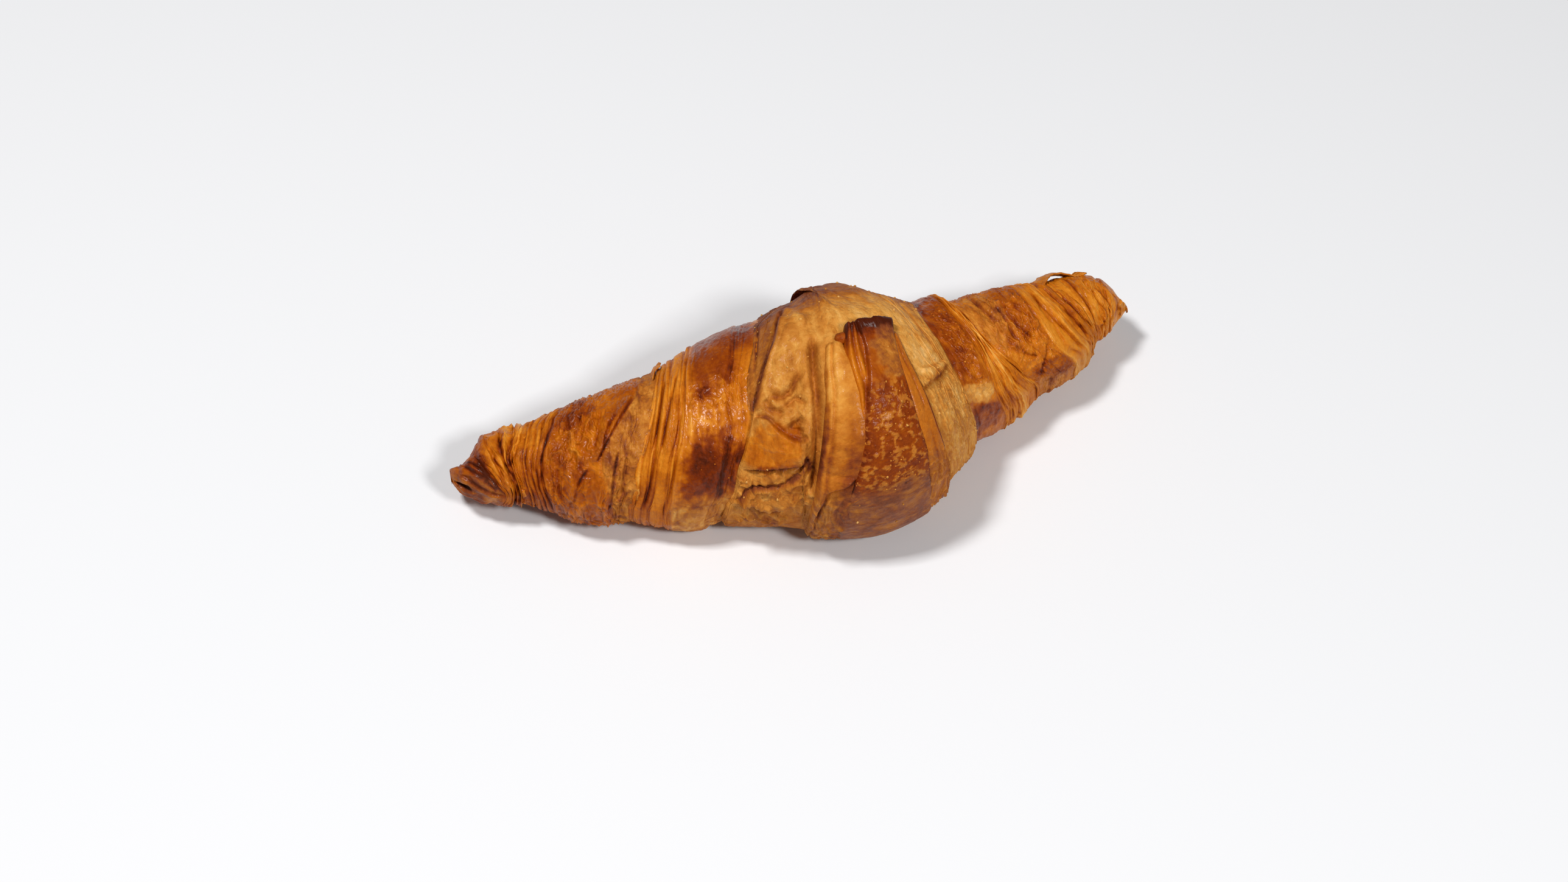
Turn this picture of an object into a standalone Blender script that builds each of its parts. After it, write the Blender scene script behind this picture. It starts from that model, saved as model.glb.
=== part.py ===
"""A baked croissant, lying on its flat underside.

The croissant is one piece of rolled dough, so it is one solid. Its body is a loft:
slanted rings of points follow a bowed centre line, and quads join each ring to the
next. The rings lean with the seams of the roll, so the steps between one turn of
dough and the next run along the mesh and stay crisp.

Frame: +X runs along the croissant, +Z is up, and the origin is on the surface it
lies on, under the middle of its bounding box. Lengths here are in millimetres, and
angles go round the body: 0 at +Y, 90 degrees on top, 180 at -Y.
"""

import bisect
import math

import bmesh
import bpy
from mathutils import Vector

METRES_PER_MM = 0.001
NAME = "croissant"

# Stations along the body: place along X, half the width there, and how far the
# centre line bows to +Y. A smooth curve runs through them.
STATIONS = (
    (-86.0, 7.0, 19.4),
    (-75.0, 8.5, 16.0),
    (-65.0, 10.2, 13.8),
    (-51.0, 14.3, 9.8),
    (-36.0, 18.0, 7.0),
    (-21.0, 21.6, 5.4),
    (-7.0, 26.2, 2.8),
    (7.0, 28.6, 0.4),
    (17.0, 27.0, 2.6),
    (28.0, 21.4, 5.2),
    (38.5, 17.2, 7.0),
    (50.0, 14.8, 8.8),
    (61.5, 12.2, 10.8),
    (73.5, 9.3, 13.4),
    (86.0, 6.4, 14.4),
)
LEFT_TIP, RIGHT_TIP = STATIONS[0][0], STATIONS[-1][0]
TIP_ROUNDING = 5.5  # length over which each horn rounds off to its point

# The cross-section: its height above and below the widest place, as shares of the
# half width, and how square the underside is (1 is round, less is squarer).
TOP_HEIGHT = 0.92
UNDERSIDE_DEPTH = 0.70
UNDERSIDE_SQUARENESS = 0.62
SIDE_SQUARENESS = 0.80
PRESSED_FLAT = 0.9  # depth of the underside that the baking tray has flattened
LEFT_LIFT, RIGHT_LIFT = 5.6, 8.4  # how far the horns' tips curl up off the tray
LIFT_STARTS = 0.25  # share of each half that still lies on the tray
LIFT_CURVE = 1.7

# Seams of the roll, from the left horn to the right one. Each edge of dough climbs
# from a foot, on the horn's side, to a crest. Both are slanted rings, given by the
# place along X where they cross the back and by how far they lean at +Y. Last comes
# the thickness of the edge.
SEAMS = (
    ("left_horn_turn", (-69.0, 3.6), (-61.7, 3.6), 2.0),
    ("left_crease", (-45.4, 5.6), (-43.0, 5.6), 1.0),
    ("left_turn", (-39.4, 5.6), (-32.0, 5.4), 3.2),
    ("left_belly", (-16.4, 8.0), (-13.8, 8.0), 1.8),
    ("right_belly", (31.8, -0.8), (29.0, -0.8), 1.8),
    ("right_turn", (45.8, -5.0), (39.8, -1.4), 3.2),
    ("right_horn_turn", (67.0, -5.5), (62.2, -3.4), 2.0),
)
SINKS_BACK = 0.8  # share of its thickness that a turn loses before the next seam
MIDDLE = 8.0  # place along X of the fattest turn, which the others lie against

# The tongue is the tip of the dough triangle, the last thing to be rolled on. It
# starts on top and runs down the front to the underside, on a wider strip. Each is
# (left edge, right edge, upper end, thickness), its edges given as the seams' are,
# but leaning only on the front.
STRIP = ((2.2, 3.6), (18.0, 2.6), math.radians(95.0), 1.1)
TONGUE = ((5.6, 1.6), (15.2, 4.6), math.radians(88.0), 1.6)
FLAP_FOOT = math.radians(236.0)  # where both flaps end under the body
FLAP_SLOPE = 1.2  # width over which the sides of a flap fall away
FLAP_END_SLOPE = math.radians(5.0)

# How finely the loft is cut.
POINTS_ROUND = 44
COLUMN_WIDTH = 3.3
TIP_RINGS = 4

CRUST_COLOUR = (0.46, 0.20, 0.05, 1.0)
CRUST_ROUGHNESS = 0.42


def smooth_step(value):
    """0 below 0, 1 above 1, and a smooth curve between."""
    value = min(1.0, max(0.0, value))
    return value * value * (3.0 - 2.0 * value)


def through_stations(along, column):
    """A value of the stations at a place along X, by a Catmull-Rom curve."""
    places = [station[0] for station in STATIONS]
    last = len(STATIONS) - 2
    first = min(last, max(0, bisect.bisect_right(places, along) - 1))
    share = (along - places[first]) / (places[first + 1] - places[first])
    around = [min(last + 1, max(0, first + step)) for step in (-1, 0, 1, 2)]
    before, here, after, beyond = (STATIONS[index][column] for index in around)
    straight = here + 0.5 * share * (after - before)
    bend = before - 2.5 * here + 2.0 * after - 0.5 * beyond
    twist = 0.5 * (beyond - before) + 1.5 * (here - after)
    return straight + bend * share**2 + twist * share**3


def roundness(along):
    """1 along the body, falling to 0 at the tips as a quarter of a circle does."""
    past = max(LEFT_TIP - along, along - RIGHT_TIP) + TIP_ROUNDING
    share = min(1.0, max(0.0, past / TIP_ROUNDING))
    return math.sqrt(1.0 - share * share)


def curl(along):
    """How far the underside has curled up off the tray."""
    share = along / (LEFT_TIP if along < 0.0 else RIGHT_TIP)
    lift = LEFT_LIFT if along < 0.0 else RIGHT_LIFT
    return lift * max(0.0, (share - LIFT_STARTS) / (1.0 - LIFT_STARTS)) ** LIFT_CURVE


def seam_place(edge, angle):
    """Where a slanted ring lies along X at an angle round the body."""
    place, lean = edge
    return place + lean * math.cos(angle)


def flap_place(edge, angle):
    """Where an edge of a flap lies along X: it leans on the front only."""
    place, lean = edge
    return place + lean * min(0.0, math.cos(angle))


def turn_height(seam, beyond, along, angle):
    """How proud one turn of dough stands: it climbs at its seam, then sinks back."""
    _, foot, crest, thickness = seam
    start, top, end = (seam_place(edge, angle) for edge in (foot, crest, beyond))
    climb = smooth_step((along - start) / (top - start))
    back = min(1.0, max(0.0, (along - top) / (end - top)))
    return thickness * climb * (1.0 - SINKS_BACK * smooth_step(back))


def roll_height(along, angle):
    """How proud the rolled dough stands here, seams and all."""
    height = 0.0
    left = [seam for seam in SEAMS if seam[1][0] < MIDDLE]
    right = [seam for seam in SEAMS[::-1] if seam[1][0] > MIDDLE]
    for side in (left, right):
        ends = [seam[1] for seam in side[1:]] + [(MIDDLE, 0.0)]
        for seam, end in zip(side, ends):
            inside = (seam_place(end, angle) - along) * (end[0] - seam[1][0]) > 0.0
            if inside:
                height = max(height, turn_height(seam, end, along, angle))
    return height


def flap_height(flap, along, angle):
    """How proud a flap stands over the roll."""
    left, right, start, thickness = flap
    sides = min(along - flap_place(left, angle), flap_place(right, angle) - along)
    ends = min(angle - start, FLAP_FOOT - angle)
    return thickness * smooth_step(sides / FLAP_SLOPE) * smooth_step(ends / FLAP_END_SLOPE)


def crust_point(along, angle):
    """A point of the crust, in millimetres."""
    half_width = through_stations(along, 1)
    bow = through_stations(along, 2)
    slope = through_stations(along + 0.5, 2) - through_stations(along - 0.5, 2)
    across = Vector((-slope, 1.0, 0.0)).normalized()
    cosine, sine = math.cos(angle), math.sin(angle)
    proud = roll_height(along, angle)
    proud += flap_height(STRIP, along, angle) + flap_height(TONGUE, along, angle)
    if sine >= 0.0:
        side, height = half_width * cosine, half_width * TOP_HEIGHT * sine
    else:
        side = half_width * math.copysign(abs(cosine) ** SIDE_SQUARENESS, cosine)
        height = -half_width * UNDERSIDE_DEPTH * abs(sine) ** UNDERSIDE_SQUARENESS
    rounded = roundness(along)
    middle = half_width * UNDERSIDE_DEPTH - PRESSED_FLAT + curl(along)
    point = Vector((along, bow, middle)) + across * rounded * (side + proud * cosine)
    point.z = max(0.0, point.z + rounded * (height + proud * sine))
    return point


def between(start, end, share):
    """A (place, lean) pair part of the way from one edge to another."""
    return tuple(a + share * (b - a) for a, b in zip(start, end))


def guide_edges():
    """Every slanted line that the mesh must follow, as (place function, edge)."""
    guides = [(seam_place, edge) for seam in SEAMS for edge in seam[1:3]]
    for left, right, _, _ in (STRIP, TONGUE):
        guides += [(flap_place, left), (flap_place, (left[0] + FLAP_SLOPE, left[1]))]
        guides += [(flap_place, right), (flap_place, (right[0] - FLAP_SLOPE, right[1]))]
    guides.append((seam_place, (LEFT_TIP + TIP_ROUNDING, 0.0)))
    guides.append((seam_place, (RIGHT_TIP - TIP_ROUNDING, 0.0)))
    return sorted(guides, key=lambda guide: guide[1][0])


def ring_lines():
    """The place along X of each ring, as a function of the angle, tip to tip."""
    guides = guide_edges()
    turns = [math.pi * 0.5 * step / TIP_RINGS for step in range(1, TIP_RINGS)]
    depths = [TIP_ROUNDING * (1.0 - math.cos(turn)) for turn in turns]
    lines = [lambda _, depth=depth: LEFT_TIP + depth for depth in depths]
    for (start_place, start), (end_place, end) in zip(guides, guides[1:]):
        count = max(1, round((end[0] - start[0]) / COLUMN_WIDTH))
        for step in range(count):
            lines.append(
                lambda angle, share=step / count, a=start_place, b=end_place, s=start, e=end: (
                    (1.0 - share) * a(s, angle) + share * b(e, angle)
                )
            )
    lines.append(lambda _: RIGHT_TIP - TIP_ROUNDING)
    lines += [lambda _, depth=depth: RIGHT_TIP - depth for depth in depths[::-1]]
    return lines


def centre(skin):
    """Moves the skin so that the origin is under the middle of its bounding box."""
    for axis in (0, 1):
        values = [vertex.co[axis] for vertex in skin.verts]
        shift = Vector((0.0, 0.0, 0.0))
        shift[axis] = -0.5 * (min(values) + max(values))
        bmesh.ops.translate(skin, verts=skin.verts, vec=shift)


def loft(lines):
    """The closed skin: a ring of points on each line, joined by quads, and two poles."""
    skin = bmesh.new()
    angles = [2.0 * math.pi * step / POINTS_ROUND for step in range(POINTS_ROUND)]
    rings = []
    for line in lines:
        points = [crust_point(line(angle), angle) * METRES_PER_MM for angle in angles]
        rings.append([skin.verts.new(point) for point in points])
    for ring, following in zip(rings, rings[1:]):
        for step in range(POINTS_ROUND):
            after = (step + 1) % POINTS_ROUND
            skin.faces.new((ring[step], ring[after], following[after], following[step]))
    for ring, tip in ((rings[0], LEFT_TIP), (rings[-1], RIGHT_TIP)):
        pole = skin.verts.new(crust_point(tip, 0.0) * METRES_PER_MM)
        for step in range(POINTS_ROUND):
            skin.faces.new((ring[step], ring[(step + 1) % POINTS_ROUND], pole))
    bmesh.ops.recalc_face_normals(skin, faces=skin.faces)
    bmesh.ops.triangulate(skin, faces=skin.faces)
    return skin


def crust_material():
    """Browned, egg-washed crust."""
    material = bpy.data.materials.new("crust")
    material.use_nodes = True
    shader = material.node_tree.nodes["Principled BSDF"]
    shader.inputs["Base Color"].default_value = CRUST_COLOUR
    shader.inputs["Roughness"].default_value = CRUST_ROUGHNESS
    shader.inputs["Metallic"].default_value = 0.0
    return material


def build_croissant():
    """The croissant, as one smooth-shaded object."""
    skin = loft(ring_lines())
    centre(skin)
    mesh = bpy.data.meshes.new(NAME)
    skin.to_mesh(mesh)
    skin.free()
    mesh.shade_smooth()
    mesh.materials.append(crust_material())
    croissant = bpy.data.objects.new(NAME, mesh)
    bpy.context.scene.collection.objects.link(croissant)
    return croissant


def main():
    """Empty the scene and build the croissant in it."""
    for thing in list(bpy.data.objects):
        bpy.data.objects.remove(thing)
    build_croissant()


main()
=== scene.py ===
# %% [markdown]
# # A baked croissant
# A croissant is one long triangle of laminated dough, rolled up from its wide end. So it
# isn't a lump with lines drawn on it: it is a core with turn after turn of dough laid
# over it, each wider turn tucked under the next, and the triangle's tip lying on the
# front as a tongue. The lesson builds it in that order. Every turn is its own closed
# shell that reaches in under its neighbour, so the gaps between turns are real gaps.
#
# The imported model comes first, because it says where the croissant is and how big.

# %% Load the frame
import itertools
import math

import bmesh
import bpy
import numpy as np
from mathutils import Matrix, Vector

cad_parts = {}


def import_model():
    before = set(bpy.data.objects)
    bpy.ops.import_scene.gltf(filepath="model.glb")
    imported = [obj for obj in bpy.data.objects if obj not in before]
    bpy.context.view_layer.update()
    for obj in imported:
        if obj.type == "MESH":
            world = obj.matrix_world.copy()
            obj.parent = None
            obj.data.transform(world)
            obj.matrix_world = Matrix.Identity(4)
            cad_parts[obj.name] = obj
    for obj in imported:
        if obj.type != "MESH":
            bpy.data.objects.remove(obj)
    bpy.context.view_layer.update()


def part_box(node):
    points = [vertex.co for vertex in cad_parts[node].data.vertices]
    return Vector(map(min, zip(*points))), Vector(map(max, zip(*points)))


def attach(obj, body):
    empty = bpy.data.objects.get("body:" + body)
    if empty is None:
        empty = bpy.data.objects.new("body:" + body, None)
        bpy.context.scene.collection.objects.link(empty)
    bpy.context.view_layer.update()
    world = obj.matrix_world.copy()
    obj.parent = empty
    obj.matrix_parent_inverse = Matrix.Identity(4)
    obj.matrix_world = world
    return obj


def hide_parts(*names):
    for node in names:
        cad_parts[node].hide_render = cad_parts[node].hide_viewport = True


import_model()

box_low, box_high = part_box("croissant")
MM = 0.001
print("croissant box, mm:", [round(side / MM, 1) for side in box_high - box_low])

# %% [markdown]
# ## A smooth curve through a few points
# Almost every shape below is given by a handful of points and a smooth curve through
# them. NumPy has straight interpolation only, so this cell makes a Hermite curve whose
# slopes come from the neighbouring points. A line round the body closes on itself: its
# points are repeated one turn before and one turn after. Soft steps and bells then mark
# where a fold, a patch or a lip begins and ends.


# %% Curves through points
def smooth_through(knots, values, at):
    """A smooth curve through (knots, values), read at the places in at."""
    knots, values = np.asarray(knots, float), np.asarray(values, float)
    slopes = np.gradient(values, knots)
    index = np.clip(np.searchsorted(knots, at) - 1, 0, len(knots) - 2)
    span = knots[index + 1] - knots[index]
    share = np.clip((at - knots[index]) / span, 0.0, 1.0)
    rest = 1.0 - share
    return (
        values[index] * rest**2 * (1.0 + 2.0 * share)
        + values[index + 1] * share**2 * (3.0 - 2.0 * share)
        + slopes[index] * span * share * rest**2
        - slopes[index + 1] * span * share**2 * rest
    )


def ring(points):
    """A closed line round the body, from {angle in degrees: place along X in mm}."""
    angles = np.array(sorted(points), float)
    places = np.array([points[angle] for angle in sorted(points)], float)
    knots = np.concatenate([angles - 360.0, angles, angles + 360.0])
    values = np.tile(places, 3)
    return lambda angle: smooth_through(knots, values, np.asarray(angle, float))


def ease(value):
    """0 below 0, 1 above 1, and a smooth step between."""
    value = np.clip(value, 0.0, 1.0)
    return value * value * (3.0 - 2.0 * value)


def after(values, start, run):
    """0 up to start, then rising to 1 over run."""
    return ease((values - start) / run)


def until(values, end, run):
    """1 at first, then falling to 0 at end over run."""
    return ease((end - values) / run)


def faded(share, fade):
    """1 along a line, falling to 0 at both of its ends."""
    return ease(share / fade) * ease((1.0 - share) / fade)


def bell(distance, width):
    """1 where distance is 0, and falling off on both sides of it."""
    return np.exp(-((distance / width) ** 2))


# %% [markdown]
# ## The body under the turns
# The turns lie on a bowed spindle. Stations along it give its half width and how far its
# middle line bows. A cross-section is an ellipse above, and below it is squarer, because
# the dough sat on a tray. The horns have curled up off the tray as they baked. Any place
# on the croissant is then three numbers: the distance along X, the angle round the body
# (0 at the back, 90 on top, 180 in front, 270 under it), and how far it stands proud.

# %% The spindle
HALF_LENGTH = 0.5 * (box_high.x - box_low.x) / MM
STATIONS = (  # share of the half length, half width, bow to +Y
    (-1.0, 5.0, 19.6),
    (-0.95, 6.9, 17.2),
    (-0.88, 8.9, 15.9),
    (-0.76, 11.3, 13.9),
    (-0.60, 15.7, 9.6),
    (-0.42, 19.5, 6.8),
    (-0.25, 22.8, 5.2),
    (-0.08, 27.1, 2.6),
    (0.08, 30.2, 0.1),
    (0.20, 28.4, 2.6),
    (0.33, 22.7, 5.0),
    (0.45, 18.7, 6.7),
    (0.58, 16.0, 8.3),
    (0.72, 13.4, 10.2),
    (0.86, 9.9, 13.8),
    (0.95, 6.6, 13.9),
    (1.0, 4.0, 12.6),
)
TOP_HEIGHT = 0.92  # height above and below the widest place, as shares of half width
UNDERSIDE_DEPTH = 0.70
UNDERSIDE_SQUARENESS = 0.62  # powers of sine and cosine: 1 is an ellipse, less is squarer
SIDE_SQUARENESS = 0.80
SUNK = 0.5  # how far the soft underside is pressed into the tray
LEFT_LIFT, RIGHT_LIFT = 7.0, 10.0  # how far the tips have curled up off the tray
LIFT_STARTS = 0.25  # share of the half length
LIFT_CURVE = 1.7
station_share, station_width, station_bow = np.array(STATIONS).T
print("widest place, mm:", round(2.0 * float(station_width.max()), 1))


def half_width(along):
    return smooth_through(station_share, station_width, along / HALF_LENGTH)


def bow(along):
    return smooth_through(station_share, station_bow, along / HALF_LENGTH)


def lift(along):
    share = along / HALF_LENGTH
    curl = (np.clip(np.abs(share) - LIFT_STARTS, 0.0, 1.0) / (1.0 - LIFT_STARTS)) ** LIFT_CURVE
    return curl * np.where(share < 0.0, LEFT_LIFT, RIGHT_LIFT)


def on_body(along, angle, proud=0.0, shrink=1.0):
    """Points in mm: proud is how far they stand off the spindle, shrink narrows it."""
    turn = np.radians(angle)
    cosine, sine = np.cos(turn), np.sin(turn)
    width = half_width(along)
    slope = bow(along + 0.5) - bow(along - 0.5)
    across_x, across_y = -slope / np.hypot(slope, 1.0), 1.0 / np.hypot(slope, 1.0)
    lower = width * np.sign(cosine) * np.abs(cosine) ** SIDE_SQUARENESS
    side = np.where(sine < 0.0, lower, width * cosine) * shrink + proud * cosine
    depth = -width * UNDERSIDE_DEPTH * np.abs(sine) ** UNDERSIDE_SQUARENESS
    rise = np.where(sine < 0.0, depth, width * TOP_HEIGHT * sine) * shrink + proud * sine
    middle = width * UNDERSIDE_DEPTH + lift(along) - SUNK
    height = np.maximum(middle + rise, 0.0)
    return np.stack([along + across_x * side, bow(along) + across_y * side, height], -1)


def roundness(along, tip, length):
    """1 along the body, falling to 0 at a tip as a quarter of a circle."""
    share = np.clip(1.0 - np.abs(tip - along) / length, 0.0, 1.0)
    return np.sqrt(np.maximum(1.0 - share * share, 0.0))


# %% [markdown]
# ## Noise that closes round the body
# Dough is never even. This is gradient noise in three dimensions, written with NumPy so
# that a whole shell is done at once. Reading it on a circle (cosine, sine) makes it close
# on itself round the body, and separate scales along and around stretch it into fibres.


# %% Noise
shuffle = np.random.default_rng(11).permutation(256)
leans = np.random.default_rng(12).normal(size=(256, 3))
leans = (leans / np.linalg.norm(leans, axis=1)[:, None]).astype(np.float32)


def noise(points, seed):
    """Smooth gradient noise, about -1 to 1, at an array of points."""
    cell = np.floor(points).astype(np.int32)
    inside = (points - cell).astype(np.float32)
    weight = inside**3 * (inside * (inside * 6.0 - 15.0) + 10.0)
    total = np.zeros(points.shape[:-1], np.float32)
    for corner in itertools.product((0, 1), repeat=3):
        spot = shuffle[(cell[..., 0] + corner[0] + 37 * seed) & 255]
        spot = shuffle[(spot + cell[..., 1] + corner[1]) & 255]
        lean = leans[shuffle[(spot + cell[..., 2] + corner[2]) & 255]]
        corner = np.array(corner, np.float32)
        dot = ((inside - corner) * lean).sum(-1)
        total += dot * np.prod(np.where(corner == 1.0, weight, 1.0 - weight), axis=-1)
    return total * 1.5


def wheel(first, reach, turn):
    """A number and a place on a circle: noise read there closes round the body."""
    return np.stack(np.broadcast_arrays(first, reach * np.cos(turn), reach * np.sin(turn)), -1)


def band_noise(along, angle, size_along, size_around, seed, octaves=1):
    """Noise on the body, with features of these sizes in mm along it and around it."""
    turn = np.radians(angle)
    radius = half_width(along) / size_around
    reach = np.mean(radius)
    total, strength = 0.0, 1.0
    for octave in range(octaves):
        fine = 2.0**octave
        where = wheel(along / size_along, reach, turn) * fine
        total = total + strength * noise(where, seed + 7 * octave)
        strength *= 0.5
    return total


# %% [markdown]
# ## A skin to sculpt, to bake and to shade
# A skin is a grid of places on the body. Each point has a height, and how brown, how
# glossy and how dry the crust is there; the brown also carries painted shade and painted
# highlights. Creases, folds and patches change those numbers near a line or a spot, so
# relief and colour always agree: a crease is lower and painted darker, as shade, and a
# ridge is higher and browner, because it caught more heat. The crests of layers, strands
# and wrinkles are painted paler instead, as highlights.


# %% The skin grid
FINISH = ("bake", "gloss", "dry", "cut")


class Skin:
    """Places on the body, in rows round it and columns along it, with their finish."""

    def __init__(self, along, angle):
        self.along, self.angle = along, angle
        self.height = np.zeros_like(along)
        self.shrink = np.ones_like(along)
        # how brown the crust is, with painted shade and painted highlights added in
        self.bake = np.full_like(along, 0.5)
        self.gloss = np.full_like(along, 0.5)
        self.dry = np.zeros_like(along)
        self.cut = np.full_like(along, 0.12)

    def start(self, **finish):
        """The finish of the whole skin, before anything is added."""
        for key, value in finish.items():
            getattr(self, key)[:] = value

    def tint(self, where, **changes):
        """Adds these changes where a mask is 1, and less of them where it is less."""
        for key, change in changes.items():
            values = getattr(self, key)
            values += change * where

    def noise(self, size_along, size_around, seed, octaves=1):
        """Noise over this skin, with features of these sizes in mm."""
        return band_noise(self.along, self.angle, size_along, size_around, seed, octaves)


def spread(lines, counts):
    """Columns between lines: lines hold one value for each row, counts the columns."""
    parts = []
    for start, end, count in zip(lines, lines[1:], counts):
        share = np.arange(count) / count
        parts.append(start[:, None] + (end - start)[:, None] * share)
    parts.append(lines[-1][:, None])
    return np.hstack(parts)


# %% [markdown]
# ### Creases, folds and patches
# Each of these takes a line or a spot on the body and finds how near every point of the
# skin lies to it. Displacement from a texture could raise the same folds, but here the
# relief, the colour and the dryness of one fold come from one distance and stay together.


# %% Creases, folds and patches
def nearness(skin, points, margin):
    """How the skin lies to a line of (along, angle) points: distance in mm, side, share."""
    points = np.array(points, float)
    steps = np.linspace(0.0, 1.0, len(points))
    fine = np.linspace(0.0, 1.0, 8 * (len(points) - 1) + 1)
    line_x = smooth_through(steps, points[:, 0], fine)
    line_a = smooth_through(steps, points[:, 1], fine)
    scale = math.radians(1.0) * float(half_width(np.mean(line_x)))
    near = (
        (skin.along > line_x.min() - margin)
        & (skin.along < line_x.max() + margin)
        & (skin.angle > line_a.min() - margin / scale)
        & (skin.angle < line_a.max() + margin / scale)
    )
    x, y = skin.along[near], skin.angle[near] * scale
    best = np.full(x.shape, 1e9)
    side, share = np.zeros(x.shape), np.zeros(x.shape)
    for k in range(len(fine) - 1):
        ax, ay, bx, by = line_x[k], line_a[k] * scale, line_x[k + 1], line_a[k + 1] * scale
        dx, dy = bx - ax, by - ay
        t = np.clip(((x - ax) * dx + (y - ay) * dy) / (dx * dx + dy * dy + 1e-9), 0.0, 1.0)
        gap = np.hypot(x - ax - t * dx, y - ay - t * dy)
        closer = gap < best
        best = np.where(closer, gap, best)
        side = np.where(closer, np.sign(dx * (y - ay) - dy * (x - ax)), side)
        share = np.where(closer, (k + t) / (len(fine) - 1), share)
    return near, best, side, share


def crease(skin, points, depth, width=0.5, dark=0.3, lip=0.0, fade=0.15):
    """A groove along a line, with raised lips, and its bottom painted darker, as shade."""
    near, gap, _, share = nearness(skin, points, 8.0 * width)
    ends = faded(share, fade) if fade else 1.0
    groove = bell(gap, width) * ends
    lips = bell(gap - 2.2 * width, 1.3 * width) * ends
    skin.height[near] += lip * lips - depth * groove
    # painted shade in the groove; a raised crease, with negative depth and dark, is painted paler, as a
    # highlight
    skin.bake[near] += dark * groove


def fold(skin, points, rise, run, over=1, edge=0.35, dark=0.35, rim=0.0, fade=0.12):
    """A lap of dough: one side of the line is raised, and drops sharply to the other."""
    near, gap, side, share = nearness(skin, points, max(run, 2.0))
    ends = faded(share, fade)
    signed = gap * side * over
    upper = ease(signed / edge * 0.5 + 0.5)
    back = ease(1.0 - np.maximum(signed, 0.0) / run)
    skin.height[near] += rise * upper * back * ends
    foot = bell(signed + edge * 0.8, edge * 1.3) * ends
    skin.height[near] -= 0.25 * rise * foot
    lip = bell(signed - edge * 1.5, edge * 1.6) * ends
    # painted shade at the foot of the drop, under the edge of the lap
    skin.bake[near] += dark * foot + rim * lip


def patch(skin, centre, size, lean=0.0, seed=1, rough=0.45, soft=0.35):
    """A blotch with an uneven edge: 1 in its middle, 0 outside."""
    scale = math.radians(1.0) * float(half_width(np.array(centre[0], float)))
    dx = skin.along - centre[0]
    dy = (skin.angle - centre[1]) * scale
    dx = dx - lean * dy
    reach = np.hypot(dx / size[0], dy / (size[1] * scale))
    wander = skin.noise(3.2, 4.0, seed, 3)
    return ease((1.0 + rough * wander - reach) / soft + 0.5)


# %% [markdown]
# ## From a skin to a closed mesh
# The grid of a turn closes round the body by itself, and a fan of triangles closes each
# end, out of sight inside the neighbouring turn. The finish goes onto the mesh as named
# attributes. One of them, grain, holds the place along and around, so that fibres in the
# material follow the dough and meet without a seam.


# %% Mesh from a skin
def grain_of(skin):
    """Places along and around, as a vector in centimetres that closes round the body."""
    turn = np.radians(skin.angle)
    reach = float(np.mean(half_width(skin.along)))
    return wheel(skin.along, reach, turn).reshape(-1, 3) * 0.1


def placed(name, data):
    """A new object in the scene, at the origin."""
    thing = bpy.data.objects.new(name, data)
    bpy.context.scene.collection.objects.link(thing)
    return thing


def finish_mesh(name, vertices, faces, finish):
    """A smooth mesh object from arrays of faces, with its finish as attributes."""
    mesh = bpy.data.meshes.new(name)
    mesh.vertices.add(len(vertices))
    mesh.vertices.foreach_set("co", (np.asarray(vertices) * MM).astype(np.float32).reshape(-1))
    corners = np.concatenate([block.reshape(-1) for block in faces]).astype(np.int32)
    sizes = np.concatenate([np.full(len(block), block.shape[1]) for block in faces])
    mesh.loops.add(len(corners))
    mesh.loops.foreach_set("vertex_index", corners)
    mesh.polygons.add(len(sizes))
    mesh.polygons.foreach_set("loop_start", (np.cumsum(sizes) - sizes).astype(np.int32))
    mesh.update(calc_edges=True)
    for key, values in finish.items():
        kind, part = ("FLOAT", "value") if values.ndim == 1 else ("FLOAT_VECTOR", "vector")
        attribute = mesh.attributes.new(key, kind, "POINT")
        attribute.data.foreach_set(part, values.astype(np.float32).reshape(-1))
    mesh.shade_smooth()
    mesh.materials.append(crust)
    print(f"{name}: {int((sizes - 2).sum())} triangles")
    return placed(name, mesh)


def shell_mesh(name, skin):
    """The closed mesh of a skin whose rows go all the way round."""
    rows, columns = skin.along.shape
    points = on_body(skin.along, skin.angle, skin.height, skin.shrink)
    middles = [points[:, 0].mean(0), points[:, -1].mean(0)]
    vertices = np.concatenate([points.reshape(-1, 3), middles])
    index = np.arange(rows * columns).reshape(rows, columns)
    below = np.roll(index, -1, axis=0)
    quads = np.stack([index[:, :-1], below[:, :-1], below[:, 1:], index[:, 1:]], -1).reshape(-1, 4)
    first = np.stack([np.full(rows, rows * columns), below[:, 0], index[:, 0]], -1)
    last = np.stack([np.full(rows, rows * columns + 1), index[:, -1], below[:, -1]], -1)
    finish = {key: getattr(skin, key).reshape(-1) for key in FINISH}
    finish["grain"] = grain_of(skin)
    for key, values in finish.items():
        finish[key] = np.concatenate([values, values[:1], values[-1:]])
    return finish_mesh(name, vertices, (quads, first, last), finish)


# %% [markdown]
# ## The crust
# One material serves every piece, because it is all one dough: what differs is how far
# each spot has baked, with painted shade and highlights added. The attributes from the
# skin choose the colour on two ramps, one for glazed skin and one for dry, matt dough,
# and noise breaks them up. Fibres run round the turns, so they read the grain, while
# blotches read Object coordinates.

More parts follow.
